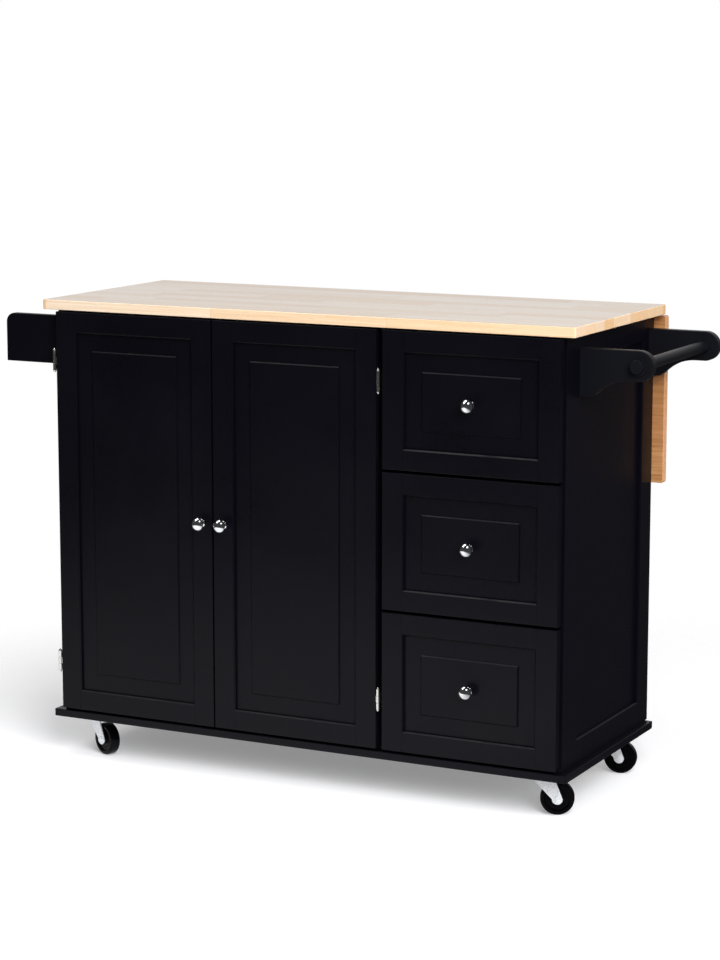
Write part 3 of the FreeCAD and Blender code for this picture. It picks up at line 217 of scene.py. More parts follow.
def makeFloor():
    bpy.ops.mesh.primitive_circle_add(
        vertices=floorPaper["sides"], radius=floorPaper["radius"], fill_type="NGON",
    )
    floor = bpy.context.object
    floor.name = "floor"
    material, tree, shader, place = newFinish("matt white floor paper", floorPaper["settings"])
    shader.inputs["Base Color"].default_value = linearColour(floorPaper["colour"])
    shader.inputs["Emission Color"].default_value = linearColour(floorPaper["glowColour"])
    # the paper glows for the camera, for gloss and through glass, so that it is white and keeps its shadow
    path = addNode(tree, "ShaderNodeLightPath")
    direct = addNode(tree, "ShaderNodeMath", {"operation": "MAXIMUM"}, {
        0: path.outputs["Is Camera Ray"], 1: path.outputs["Is Transmission Ray"],
    })
    seen = addNode(tree, "ShaderNodeMath", {"operation": "MAXIMUM"}, {
        0: direct.outputs[0], 1: path.outputs["Is Glossy Ray"],
    })
    addNode(tree, "ShaderNodeMath", {"operation": "MULTIPLY"}, {
        0: seen.outputs[0], 1: floorPaper["glow"],
    }, {0: [shader.inputs["Emission Strength"]]})
    fades = []
    for centre, start, end in (floorPaper["seen"], floorPaper["inGloss"]):
        away = addNode(tree, "ShaderNodeVectorMath", {"operation": "DISTANCE"}, {0: place, 1: centre})
        fades.append(addNode(tree, "ShaderNodeMapRange", {"interpolation_type": "SMOOTHSTEP"}, {
            "Value": away.outputs["Value"], "From Min": start, "From Max": end,
        }).outputs[0])
    fade = addNode(tree, "ShaderNodeMix", {"data_type": "FLOAT"}, {
        mixShare: path.outputs["Is Glossy Ray"], valueA: fades[0], valueB: fades[1],
    })
    # from below the paper is clear, so that the underside of the cart can be seen
    below = addNode(tree, "ShaderNodeNewGeometry").outputs["Backfacing"]
    gone = addNode(tree, "ShaderNodeMath", {"operation": "MAXIMUM"}, {0: fade.outputs[0], 1: below})
    clear = addNode(tree, "ShaderNodeBsdfTransparent")
    addNode(tree, "ShaderNodeMixShader", inputs={
        0: gone.outputs[0], 1: shader.outputs[0], 2: clear.outputs[0],
    }, feeds={0: [tree.nodes["Material Output"].inputs["Surface"]]})
    floor.data.materials.append(material)


makeCamera()
makeBackdrop()
makeLamps()
makeFloor()
print("camera and studio made")


blackPaint = {
    "settings": {"IOR": 1.45, "Specular IOR Level": 0.15},
    "tones": ("#07060B", "#0B0A11"),
    "roughness": (0.28, 0.38),
    "unevenness": 0.03,
    # the size and the detail of each pattern
    "cloud": (180 * mm, 3.0),
    "dust": (9 * mm, 4.0),
    "peel": (2.5 * mm, 2.0),
    "peelDepth": 0.05 * mm,
    "bump": 0.1,
}

# the towel bar is a little greyer than the boards
armPaint = {**blackPaint, "tones": ("#0F0F13", "#131419")}


def makeBlackPaint(name, paint):
    # satin lacquer sprayed on board: a soft mirror with faint orange peel and an uneven sheen
    material, tree, shader, place = newFinish(name, paint["settings"])
    noises = {}
    for pattern in ("cloud", "dust", "peel"):
        size, detail = paint[pattern]
        noises[pattern] = addNode(tree, "ShaderNodeTexNoise", inputs={
            "Vector": place, "Scale": 1 / size, "Detail": detail,
        }).outputs["Fac"]
    dark, pale = paint["tones"]
    addNode(tree, "ShaderNodeMix", {"data_type": "RGBA"}, {
        mixShare: noises["cloud"], colourA: linearColour(dark), colourB: linearColour(pale),
    }, {mixedColour: [shader.inputs["Base Color"]]})
    low, high = paint["roughness"]
    sheen = addNode(tree, "ShaderNodeMapRange", inputs={
        "Value": noises["cloud"], **noiseReach, "To Min": low, "To Max": high,
    })
    specks = addNode(tree, "ShaderNodeMapRange", inputs={
        "Value": noises["dust"], **noiseReach,
        "To Min": -paint["unevenness"], "To Max": paint["unevenness"],
    })
    addNode(tree, "ShaderNodeMath", {"operation": "ADD"}, {
        0: sheen.outputs[0], 1: specks.outputs[0],
    }, {0: [shader.inputs["Roughness"]]})
    addNode(tree, "ShaderNodeBump", inputs={
        "Height": noises["peel"], "Strength": paint["bump"], "Distance": paint["peelDepth"],
    }, feeds={0: [shader.inputs["Normal"]]})
    return material


def addGrainSheen(tree, shader, grain, look):
    # the fine grain makes the sheen uneven and stands up from the surface
    low, high = look["roughness"]
    addNode(tree, "ShaderNodeMapRange", inputs={
        "Value": grain, **noiseReach, "To Min": low, "To Max": high,
    }, feeds={0: [shader.inputs["Roughness"]]})
    addNode(tree, "ShaderNodeBump", inputs={
        "Height": grain, "Strength": look["bump"], "Distance": look["grainDepth"],
    }, feeds={0: [shader.inputs["Normal"]]})


def shadedWhere(tree, amount, look, toned):
    # the look's shade goes over the tone, from where the amount reaches the first of the look's edges
    start, full = look["edges"]
    mask = addNode(tree, "ShaderNodeMapRange", inputs={
        "Value": amount, "From Min": start, "From Max": full, "To Max": look["weight"],
    })
    return addNode(tree, "ShaderNodeMix", {"data_type": "RGBA"}, {
        mixShare: mask.outputs[0], colourA: toned, colourB: linearColour(look["shade"]),
    }).outputs[mixedColour]


# A pattern has its size across the grain, its run, which is how much longer it is along the grain,
# the stretch of its noise over which it sets in, its shade and how strong that is
rubberwood = {
    "settings": {
        "IOR": 1.5, "Specular IOR Level": 0.15,
        "Coat Weight": 1.0, "Coat Roughness": 0.04, "Coat IOR": 1.5,
    },
    "staveWidth": 43 * mm,
    "staveLength": 370 * mm,
    "tones": ["#E6BC8C", "#F4DBBC", "#FAE9D6", "#EDC99F", "#F8E2C6", "#FBEFDF"],
    "cutSpread": 3.0,
    "grain": {"size": 2.2 * mm, "run": 110, "edges": (0.35, 0.75), "shade": "#D3A06C", "weight": 0.45},
    "figure": {"size": 20 * mm, "run": 14, "edges": (0.4, 0.7), "shade": "#E3B886", "weight": 0.26},
    # real pores are a fifth of this, too fine to show
    "pore": {"size": 0.9 * mm, "run": 14, "edges": (0.62, 0.72), "shade": "#A87444", "weight": 0.35},
    "patternDetail": 4.0,
    "sawnEnd": {"size": 1.6 * mm, "edges": (0.3, 0.6), "shade": "#F0BC7C", "weight": 0.4},
    "sawnDetail": 3.0,
    "glueLine": {"width": 0.5 * mm, "shade": "#B9783E", "weight": 0.6},
    "roughness": (0.22, 0.34),
    "grainDepth": 0.08 * mm,
    "bump": 0.1,
}

# the leaf's boards are darker and redder than the worktop's: partly their own tone, partly painted shade of where
# the leaf hangs; flat-sawn, with broad wavy growth lines
leafWood = {
    **rubberwood,
    "settings": {
        **rubberwood["settings"],
        "Specular IOR Level": 0.3, "Coat Weight": 0.3, "Coat Roughness": 0.15,
    },
    "tones": ["#B47F52", "#BF8A5C", "#C89767", "#C18C5E", "#B88354", "#CC9D70"],
    "grain": {**rubberwood["grain"], "shade": "#A8713F"},
    "figure": {**rubberwood["figure"], "size": 6 * mm, "run": 18, "shade": "#8A5429", "weight": 0.7},
    "pore": {**rubberwood["pore"], "shade": "#82502C"},
    # the leaf's sawn ends are speckled paler than its faces: painted light on the lit end, against the faces'
    # painted shade
    "sawnEnd": {**rubberwood["sawnEnd"], "shade": "#F2BC94", "weight": 0.6},
    "glueLine": {**rubberwood["glueLine"], "shade": "#8C5B36"},
    "roughness": (0.3, 0.42),
}


def layStaves(tree, place, across, wood):
    # rows of staves along X: how far through its stave a place is, across and along,
    # and the chance that all of one stave shares
    axes = addNode(tree, "ShaderNodeSeparateXYZ", inputs={0: place})
    rows = addNode(tree, "ShaderNodeMath", {"operation": "DIVIDE"}, {
        0: axes.outputs[across], 1: wood["staveWidth"],
    })
    row = addNode(tree, "ShaderNodeMath", {"operation": "FLOOR"}, {0: rows.outputs[0]})
    rowPart = addNode(tree, "ShaderNodeMath", {"operation": "FRACT"}, {0: rows.outputs[0]})
    offset = addNode(tree, "ShaderNodeTexWhiteNoise", {"noise_dimensions": "1D"}, {"W": row.outputs[0]})
    columns = addNode(tree, "ShaderNodeMath", {"operation": "DIVIDE"}, {
        0: axes.outputs["X"], 1: wood["staveLength"],
    })
    # the staves of one row start where chance has it
    staggered = addNode(tree, "ShaderNodeMath", {"operation": "ADD"}, {
        0: columns.outputs[0], 1: offset.outputs["Value"],
    })
    column = addNode(tree, "ShaderNodeMath", {"operation": "FLOOR"}, {0: staggered.outputs[0]})
    columnPart = addNode(tree, "ShaderNodeMath", {"operation": "FRACT"}, {0: staggered.outputs[0]})
    key = addNode(tree, "ShaderNodeCombineXYZ", inputs={0: row.outputs[0], 1: column.outputs[0]})
    chance = addNode(tree, "ShaderNodeTexWhiteNoise", {"noise_dimensions": "3D"}, {
        "Vector": key.outputs[0],
    })
    return rowPart.outputs[0], columnPart.outputs[0], chance


def toneStaves(tree, chance, wood):
    # each stave has one of the tones, or one between two of them
    stave = addNode(tree, "ShaderNodeValToRGB", inputs={0: chance.outputs["Value"]})
    stops = stave.color_ramp.elements
    codes = wood["tones"]
    while len(stops) < len(codes):
        stops.new(1.0)
    for index, code in enumerate(codes):
        stops[index].position = index / (len(codes) - 1)
        stops[index].color = linearColour(code)
    return stave.outputs[0]


def grainStaves(tree, place, chance, toned, wood):
    # each stave is cut from another place, so its grain starts elsewhere
    spread = wood["cutSpread"]
    cutFrom = addNode(tree, "ShaderNodeVectorMath", {"operation": "MULTIPLY_ADD"}, {
        0: chance.outputs["Color"], 1: (spread, spread, spread), 2: place,
    })
    noises = {}
    for pattern in ("grain", "figure", "pore"):
        look = wood[pattern]
        run = addNode(tree, "ShaderNodeVectorMath", {"operation": "MULTIPLY"}, {
            0: cutFrom.outputs[0], 1: (1 / look["run"], 1.0, 1.0),
        })
        noises[pattern] = addNode(tree, "ShaderNodeTexNoise", inputs={
            "Vector": run.outputs[0], "Scale": 1 / look["size"], "Detail": wood["patternDetail"],
        }).outputs["Fac"]
        toned = shadedWhere(tree, noises[pattern], look, toned)
    return toned, noises["grain"]


def speckleSawnEnds(tree, place, toned, wood):
    # sawn ends are speckled with a tone of their own; on the leaf that tone is paler than its faces, painted light
    # against their painted shade
    look = wood["sawnEnd"]
    facing = addNode(tree, "ShaderNodeNewGeometry").outputs["True Normal"]
    ends = addNode(tree, "ShaderNodeSeparateXYZ", inputs={0: facing})
    sawn = addNode(tree, "ShaderNodeMath", {"operation": "ABSOLUTE"}, {0: ends.outputs["X"]})
    speckle = addNode(tree, "ShaderNodeTexNoise", inputs={
        "Vector": place, "Scale": 1 / look["size"], "Detail": wood["sawnDetail"],
    })
    endShade = addNode(tree, "ShaderNodeMath", {"operation": "MULTIPLY"}, {
        0: sawn.outputs[0], 1: speckle.outputs["Fac"],
    })
    return shadedWhere(tree, endShade.outputs[0], look, toned)


def glueStaves(tree, rowPart, columnPart, toned, wood):
    # a glue line, where a place is half a stave away from its stave's middle
    look = wood["glueLine"]
    half = 0.5
    lines = []
    for part, length in ((rowPart, wood["staveWidth"]), (columnPart, wood["staveLength"])):
        middle = addNode(tree, "ShaderNodeMath", {"operation": "SUBTRACT"}, {0: part, 1: half})
        apart = addNode(tree, "ShaderNodeMath", {"operation": "ABSOLUTE"}, {0: middle.outputs[0]})
        lines.append(addNode(tree, "ShaderNodeMapRange", inputs={
            "Value": apart.outputs[0], "From Min": half - look["width"] / length, "From Max": half,
            "To Max": look["weight"],
        }).outputs[0])
    line = addNode(tree, "ShaderNodeMath", {"operation": "MAXIMUM"}, {0: lines[0], 1: lines[1]})
    return addNode(tree, "ShaderNodeMix", {"data_type": "RGBA"}, {
        mixShare: line.outputs[0], colourA: toned, colourB: linearColour(look["shade"]),
    }).outputs[mixedColour]


def makeStaves(name, across, wood):
    # edge-glued rubberwood staves along X: even honey tone, open pores, thin glue lines,
    # planed smooth under a clear lacquer that mirrors at a low angle
    material, tree, shader, place = newFinish(name, wood["settings"])
    rowPart, columnPart, chance = layStaves(tree, place, across, wood)
    toned = toneStaves(tree, chance, wood)
    toned, grain = grainStaves(tree, place, chance, toned, wood)
    toned = speckleSawnEnds(tree, place, toned, wood)
    toned = glueStaves(tree, rowPart, columnPart, toned, wood)
    tree.links.new(toned, shader.inputs["Base Color"])
    addGrainSheen(tree, shader, grain, wood)
    return material


birchBoard = {
    "settings": {"IOR": 1.5, "Coat Weight": 0.15, "Coat Roughness": 0.3},
    "tone": "#DCC49C",
    "run": 40,
    "grain": {"size": 2.5 * mm, "detail": 5.0, "edges": (0.35, 0.7), "shade": "#B9925F", "weight": 0.6},
    "flame": {"size": 26 * mm, "detail": 3.0, "edges": (0.4, 0.65), "shade": "#CBA574", "weight": 0.5},
    "roughness": (0.42, 0.58),
    "grainDepth": 0.08 * mm,
    "bump": 0.12,
}


def makeBirch(name, along):
    # sealed birch board of the drawer boxes: pale, with a fine grain along each board
    material, tree, shader, place = newFinish(name, birchBoard["settings"])
    stretch = [1.0, 1.0, 1.0]
    stretch[along] = 1 / birchBoard["run"]
    run = addNode(tree, "ShaderNodeVectorMath", {"operation": "MULTIPLY"}, {0: place, 1: stretch})
    noises = {}
    toned = linearColour(birchBoard["tone"])
    for pattern in ("grain", "flame"):
        look = birchBoard[pattern]
        noises[pattern] = addNode(tree, "ShaderNodeTexNoise", inputs={
            "Vector": run.outputs[0], "Scale": 1 / look["size"], "Detail": look["detail"],
        }).outputs["Fac"]
        toned = shadedWhere(tree, noises[pattern], look, toned)
    tree.links.new(toned, shader.inputs["Base Color"])
    addGrainSheen(tree, shader, noises["grain"], birchBoard)
    return material


# nickel chrome over brass, buffed: a clear mirror with hardly any haze
polishedChrome = {
    "settings": {"Metallic": 1.0}, "tones": ("#E0E2E6", "#EEF0F2"), "roughness": (0.04, 0.09),
    "cloudSize": 12 * mm, "grainSize": 1.2 * mm, "grainDepth": 0.01 * mm, "bump": 0.02,
}
# nickel on drawn steel, left unbuffed: a mirror with a little haze
plainNickel = {
    "settings": {"Metallic": 1.0}, "tones": ("#DADAD6", "#E8E8E4"), "roughness": (0.16, 0.26),
    "cloudSize": 12 * mm, "grainSize": 1.2 * mm, "grainDepth": 0.01 * mm, "bump": 0.04,
}
# bright zinc on pressed steel: a blurred mirror with a faint spangle, and pale where it is in shade
brightZinc = {
    "settings": {"Metallic": 0.35}, "tones": ("#E8EBEE", "#F2F4F6"), "roughness": (0.24, 0.36),
    "cloudSize": 7 * mm, "grainSize": 1.5 * mm, "grainDepth": 0.02 * mm, "bump": 0.06,
}
# polypropylene from a polished mould: deep black with a dull gloss and slight flow marks
glossPlastic = {
    "settings": {"IOR": 1.49, "Specular IOR Level": 0.08}, "tones": ("#030304", "#060608"),
    "roughness": (0.16, 0.26),
    "cloudSize": 16 * mm, "grainSize": 1.4 * mm, "grainDepth": 0.03 * mm, "bump": 0.1,
}
# ABS from a spark-eroded mould: matt black with an even fine grain
mattPlastic = {
    "settings": {"IOR": 1.54}, "tones": ("#121214", "#1A1A1D"), "roughness": (0.45, 0.6),
    "cloudSize": 10 * mm, "grainSize": 0.9 * mm, "grainDepth": 0.05 * mm, "bump": 0.2,
}
surfaceDetail = 3.0


def makeSurface(name, look):
    # one tone and sheen that drift a little, over a fine grain: for the metals and the plastics
    material, tree, shader, place = newFinish(name, look["settings"])
    noises = {}
    for pattern in ("cloud", "grain"):
        noises[pattern] = addNode(tree, "ShaderNodeTexNoise", inputs={
            "Vector": place, "Scale": 1 / look[pattern + "Size"], "Detail": surfaceDetail,
        }).outputs["Fac"]
    drift = addNode(tree, "ShaderNodeMapRange", inputs={"Value": noises["cloud"], **noiseReach})
    dark, pale = look["tones"]
    addNode(tree, "ShaderNodeMix", {"data_type": "RGBA"}, {
        mixShare: drift.outputs[0], colourA: linearColour(dark), colourB: linearColour(pale),
    }, {mixedColour: [shader.inputs["Base Color"]]})
    addGrainSheen(tree, shader, noises["grain"], look)
    return material


finishes = {
    "black_paint": makeBlackPaint("satin black lacquer, sprayed on board", blackPaint),
    "arm_paint": makeBlackPaint("satin charcoal lacquer, sprayed on the towel bar", armPaint),
    "worktop_wood": makeStaves("rubberwood staves, planed and lacquered", "Y", rubberwood),
    "leaf_wood": makeStaves("rubberwood staves of the hanging leaf, planed and lacquered", "Z", leafWood),
    "bare_board": makeBirch("sealed birch board, grain along X", 0),
    "bare_board_deep": makeBirch("sealed birch board, grain along Y", 1),
    "polished_metal": makeSurface("nickel chrome, polished", polishedChrome),
    "hinge_metal": makeSurface("nickel plate on drawn steel", plainNickel),
    "zinc_steel": makeSurface("bright zinc on pressed steel", brightZinc),
    "wheel_plastic": makeSurface("polypropylene, moulded glossy", glossPlastic),
    "catch_plastic": makeSurface("ABS, moulded matt", mattPlastic),
}
ownFinish = {"drop_leaf": "leaf_wood", "towel_arms": "arm_paint", "towel_rail": "arm_paint"}
for name, node in nodes.items():
    node.data.materials.clear()
    node.data.materials.append(finishes[ownFinish.get(name, slotOf[name])])
print("finishes made:", len(finishes))


def useOnly(piece):
    bpy.ops.object.select_all(action="DESELECT")
    piece.select_set(True)
    bpy.context.view_layer.objects.active = piece


# faces that meet at less than this shade as one, in degrees
smoothUnder = {"wheel": 25, "edge": 32, "dome": 40, "ball": 60}


def smoothed(piece, degrees):
    useOnly(piece)
    bpy.ops.object.shade_smooth_by_angle(angle=math.radians(degrees))


def applyModifiers(piece):
    useOnly(piece)
    for modifier in list(piece.modifiers):
        bpy.ops.object.modifier_apply(modifier=modifier.name)


def rounded(piece, levels):
    rounding = piece.modifiers.new("rounding", "SUBSURF")
    rounding.levels = levels
    rounding.render_levels = levels
    applyModifiers(piece)


def discard(piece):
    useOnly(piece)
    bpy.ops.object.delete()


def pieceName(nodeName):
    words = nodeName.split("_")
    return words[0] + "".join(word.capitalize() for word in words[1:])


def dressed(piece, body, slot, replaced=(), finish=None):
    # the piece gets its finish and its body, and the nodes that it stands for
    piece.data.materials.clear()
    piece.data.materials.append(finishes[finish or slot])
    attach(piece, body)
    if replaced:
        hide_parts(*replaced)
    return piece


# How a copy of a node is merged, and which of its edges are eased, with angles in degrees
easing = {"merge": 0.01 * mm, "flatUnder": 0.5, "sharpOver": 40}

# Boards, sheet metal and small parts whose edges the source leaves sharp
easedEdges = {
    "board": {"width": 0.9 * mm, "segments": 2},
    "rackEnd": {"width": 1.6 * mm, "segments": 3},
    "sheet": {"width": 0.35 * mm, "segments": 2},
    "moulding": {"width": 0.6 * mm, "segments": 2},
    "hinge": {"width": 0.12 * mm, "segments": 2},
}


def easedCopy(nodeName, edge, name=None, finish=None):
    # a copy of a node with its sharp edges taken off, in the node's place
    piece = bpy.data.objects.new(name or pieceName(nodeName), nodes[nodeName].data.copy())
    bpy.context.scene.collection.objects.link(piece)
    useOnly(piece)
    bpy.ops.object.mode_set(mode="EDIT")
    bpy.ops.mesh.select_all(action="SELECT")
    bpy.ops.mesh.remove_doubles(threshold=easing["merge"])
    bpy.ops.mesh.dissolve_limited(angle_limit=math.radians(easing["flatUnder"]))
    bpy.ops.object.mode_set(mode="OBJECT")
    ease = piece.modifiers.new("easedEdges", "BEVEL")
    ease.width = easedEdges[edge]["width"]
    ease.segments = easedEdges[edge]["segments"]
    ease.limit_method = "ANGLE"
    ease.angle_limit = math.radians(easing["sharpOver"])
    applyModifiers(piece)
    smoothed(piece, smoothUnder["edge"])
    # the broad faces shade flat up to their eased edges
    weighed = piece.modifiers.new("broadFacesFirst", "WEIGHTED_NORMAL")
    weighed.keep_sharp = True
    applyModifiers(piece)
    return dressed(piece, bodyOf[nodeName], slotOf[nodeName], [nodeName], finish)


def turned(name, rings, sides):
    # a turned form along +Z: rings are (level, radius) from one end to the other
    level, radius = rings[0]
    bpy.ops.object.select_all(action="DESELECT")
    bpy.ops.mesh.primitive_circle_add(
        vertices=sides, radius=radius, fill_type="NGON", location=(0, 0, level),
    )
    piece = bpy.context.object
    piece.name = name
    bpy.ops.object.transform_apply(location=True, rotation=True, scale=True)
    bpy.ops.object.mode_set(mode="EDIT")
    bpy.ops.mesh.select_all(action="SELECT")
    for nextLevel, nextRadius in rings[1:]:
        bpy.ops.mesh.extrude_region_move(TRANSFORM_OT_translate={"value": (0, 0, nextLevel - level)})
        ratio = nextRadius / radius
        bpy.ops.transform.resize(value=(ratio, ratio, 1), center_override=(0, 0, nextLevel))
        level, radius = nextLevel, nextRadius
    bpy.ops.mesh.select_all(action="SELECT")
    bpy.ops.mesh.normals_make_consistent(inside=False)
    bpy.ops.object.mode_set(mode="OBJECT")
    smoothed(piece, smoothUnder["edge"])
    return piece


def scaledRings(rings):
    return [(level * mm, radius * mm) for level, radius in rings]


def arcRings(centre, reach, start, end, steps):
    # rings on an arc: centre and reach are (level, radius), and angles go in degrees from the axis
    turns = [math.radians(start + (end - start) * step / steps) for step in range(steps + 1)]
    return [
        (centre[0] + reach[0] * math.cos(turn), centre[1] + reach[1] * math.sin(turn))
        for turn in turns
    ]


# a dome goes from its rim to a small flat on top
domeArc = {"start": 90, "end": 18, "steps": 4}


def domedHead(shape):
    # the foot of a head, and the dome that stands on it
    return shape["foot"] + arcRings((shape["rim"], 0.0), shape["dome"], **domeArc)


def placedCopy(pattern, name, place, direction=(0, 0, 1), turn=0.0):
    # a copy with its own mesh: its axis points along direction, its origin stands at place
    twin = bpy.data.objects.new(name, pattern.data.copy())
    bpy.context.scene.collection.objects.link(twin)
    aim = Vector(direction).to_track_quat("Z", "Y").to_matrix().to_4x4()
    spin = Matrix.Rotation(turn, 4, "Z")
    twin.data.transform(Matrix.Translation(Vector(place)) @ aim @ spin)
    return twin


def joined(parts, name):
    bpy.ops.object.select_all(action="DESELECT")
    for part in parts:
        part.select_set(True)
    bpy.context.view_layer.objects.active = parts[0]
    bpy.ops.object.join()
    whole = bpy.context.view_layer.objects.active
    whole.name = name
    return whole


innerBoards = ("center_divider", "back_panel", "top_stretchers", "adjustable_shelf", "spice_rack_floor")


def makeBoards():
    for nodeName in innerBoards:
        easedCopy(nodeName, "board", nodeName.replace("_", "") + "Eased")
    easedCopy("spice_rack_rail", "board")
    easedCopy("spice_rack_ends", "rackEnd")


makeBoards()
print("boards and rack eased")


drawerBox = {"wall": 12 * mm}


def makeDrawerBoxes():
    for drawer in ("upper", "middle", "lower"):
        box = easedCopy(f"{drawer}_drawer_box", "board")
        # the side walls and the floor have their grain from front to back
        box.data.materials.append(finishes["bare_board_deep"])
        low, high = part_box(f"{drawer}_drawer_box")
        wall = drawerBox["wall"] + easedEdges["board"]["width"]
        for face in box.data.polygons:
            centre = face.center
            besides = centre.x < low.x + wall or centre.x > high.x - wall
            within = low.y + wall < centre.y < high.y - wall
            face.material_index = 1 if besides or within else 0


makeDrawerBoxes()
print("drawer boxes eased")


def makeSheetMetal():
    for nodeName in nodes:
        if slotOf[nodeName] == "zinc_steel":
            easedCopy(nodeName, "sheet")
    easedCopy("door_catches", "moulding")


makeSheetMetal()
print("sheet metal eased")


# Mushroom knobs, turned from brass bar and plated: the roundings bend the profile into a curve
knob = {
    "profile": [
        (0.0, 8.0), (1.6, 8.0), (2.5, 7.9), (3.0, 7.2), (3.5, 5.9), (5.0, 5.1), (7.5, 4.7),
        (10.5, 4.7), (12.6, 5.3), (14.2, 7.2), (15.2, 9.8), (16.0, 11.8), (16.9, 12.8),
        (17.8, 13.0), (18.9, 12.8), (20.6, 11.8), (22.8, 9.5), (24.8, 6.4), (26.3, 3.2), (26.9, 1.0),
    ],
    "roundings": 2,
    "sides": 24,
}


def makeKnobs():
    pattern = turned("knobPattern", scaledRings(knob["profile"]), knob["sides"])
    rounded(pattern, knob["roundings"])
    for owner in ("left_door", "right_door", "upper_drawer", "middle_drawer", "lower_drawer"):
        nodeName = f"{owner}_knob"
        low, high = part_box(nodeName)
        seat = ((low.x + high.x) / 2, high.y, (low.z + high.z) / 2)
        twin = placedCopy(pattern, pieceName(nodeName), seat, (0, -1, 0))
        smoothed(twin, smoothUnder["ball"])
        dressed(twin, owner, "polished_metal", [nodeName])
    discard(pattern)


makeKnobs()
print("knobs turned")


# Screws, modelled once each: a pan head, and a low countersunk head
screws = {
    "pan": {
        "foot": [(-0.6, 2.6), (0.0, 3.5)], "rim": 0.7, "dome": (1.45, 3.5),
        "slotLong": 3.6 * mm, "slotWide": 0.8 * mm, "slotDeep": 1.0 * mm,
    },
    "countersunk": {
        "foot": [(-0.8, 1.9)], "rim": 0.05, "dome": (0.37, 2.9),
        "slotLong": 3.0 * mm, "slotWide": 0.7 * mm, "slotDeep": 0.7 * mm,
    },
    "sides": 20,
    "stopStep": 37,     # degrees by which each screw stops further round than the one before it
}


def cutAway(piece, cutter):
    useOnly(piece)
    cut = piece.modifiers.new("cut", "BOOLEAN")
    cut.operation = "DIFFERENCE"
    cut.solver = "EXACT"
    cut.object = cutter
    applyModifiers(piece)
    discard(cutter)


def makeScrew(kind):
    sizes = screws[kind]
    rings = scaledRings(domedHead(sizes))
    pattern = turned(kind + "ScrewPattern", rings, screws["sides"])
    top = rings[-1][0]
    long, wide, deep = sizes["slotLong"], sizes["slotWide"], sizes["slotDeep"]
    # two crossed slots make the recess
    for alongX, alongY in ((long, wide), (wide, long)):
        bpy.ops.object.select_all(action="DESELECT")
        bpy.ops.mesh.primitive_cube_add(size=1, location=(0, 0, top), scale=(alongX, alongY, 2 * deep))
        cutAway(pattern, bpy.context.object)
    return pattern


screwPatterns = {kind: makeScrew(kind) for kind in ("pan", "countersunk")}


def driveScrews(name, kind, places, direction, body, slot="zinc_steel", finish=None):
    # copies of one screw at the places, each stopped at another angle
    stopStep = math.radians(screws["stopStep"])
    heads = [
        placedCopy(screwPatterns[kind], f"{name}{number}", place, direction, stopStep * number)
        for number, place in enumerate(places)
    ]
    whole = joined(heads, name)
    smoothed(whole, smoothUnder["dome"])
    dressed(whole, body, slot, (), finish)


# Door hinges: eased leaves, pointed tips on the barrels, and their screws
doorHinge = {
    "height": 38 * mm,
    "sheet": 1.4 * mm,
    "tip": [
        (-0.6, 3.2), (0.0, 3.4), (1.0, 3.4), (1.2, 3.3), (2.1, 2.9), (3.1, 2.2), (4.0, 1.4),
        (4.6, 0.9), (4.9, 0.5), (5.0, 0.2),
    ],
    "tipSides": 24,
    "tipRoundings": 1,
    # the screws' places, from the middle of a hinge and from its axis
    "screwRise": 10.5 * mm,
    "screwBehind": 7.5 * mm,
}


def makeDoorHinges():
    metal = "hinge_metal"
    easedCopy("door_hinge_side_leaves", "hinge", finish=metal)
    pattern = turned("hingeTipPattern", scaledRings(doorHinge["tip"]), doorHinge["tipSides"])
    rounded(pattern, doorHinge["tipRoundings"])
    tips = []
    for side, outward in (("left", -1), ("right", 1)):
        leaves = f"{side}_door_hinge_leaves"
        easedCopy(leaves, "hinge", finish=metal)
        axis = Vector(joints[f"{side}_door_hinge"]["pos_m"])
        low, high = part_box(leaves)
        levels = (low.z + doorHinge["height"] / 2, high.z - doorHinge["height"] / 2)
        # the leaves lie on the door's edge, and their screws are driven in from outside
        doorEdge = high.x if side == "left" else low.x
        outside = doorEdge + outward * doorHinge["sheet"]
        places = []
        for level in levels:
            for way in (-1, 1):
                end = (axis.x, axis.y, level + way * doorHinge["height"] / 2)
                tips.append(placedCopy(pattern, "hingeTip", end, (0, 0, way)))
                rise = level + way * doorHinge["screwRise"]
                places.append((outside, axis.y + doorHinge["screwBehind"], rise))
        driveScrews(
            f"{side}HingeDoorScrews", "countersunk", places, (outward, 0, 0),
            f"{side}_door", "polished_metal", metal,
        )
    discard(pattern)
    whole = joined(tips, "hingeTips")
    smoothed(whole, smoothUnder["ball"])
    dressed(whole, "cabinet", "polished_metal", (), metal)


makeDoorHinges()
print("door hinges dressed")


# Casters: plate and fork from sheet steel, a race cover, axle rivets and a turned wheel
caster = {
    # one half of the wheel, from its bore to its tread, whose edge is round
    "hub": [
        (12.5, 3.4), (12.5, 8.3), (12.0, 8.9), (9.0, 9.2), (7.9, 9.8), (7.2, 11.0), (7.2, 15.0),
        (7.9, 15.5), (7.9, 17.3), (7.2, 17.8), (7.2, 21.2), (7.6, 22.6), (9.0, 23.3), (10.5, 23.7),
        (11.0, 24.5),
    ],
    "treadEdge": {"centre": (5.0, 27.6), "reach": (6.0, 4.4), "start": 0, "end": 90, "steps": 5},
    "wheelSides": 72,
    "rivet": {"foot": [(-0.4, 5.4), (0.0, 6.1)], "rim": 1.2, "dome": (2.35, 6.1)},
    "rivetSides": 32,
    "rivetStart": 15.5 * mm,
    "plateSheet": 2.5 * mm,
    # the race cover hangs under the plate
    "raceCover": [(-4.15, 17.6), (-3.8, 18.6), (-2.9, 18.9), (-1.9, 18.6), (-0.9, 17.6), (-0.2, 16.0)],
    "coverSides": 64,
    "screwAlong": 24 * mm,
    "screwAcross": 17 * mm,
}


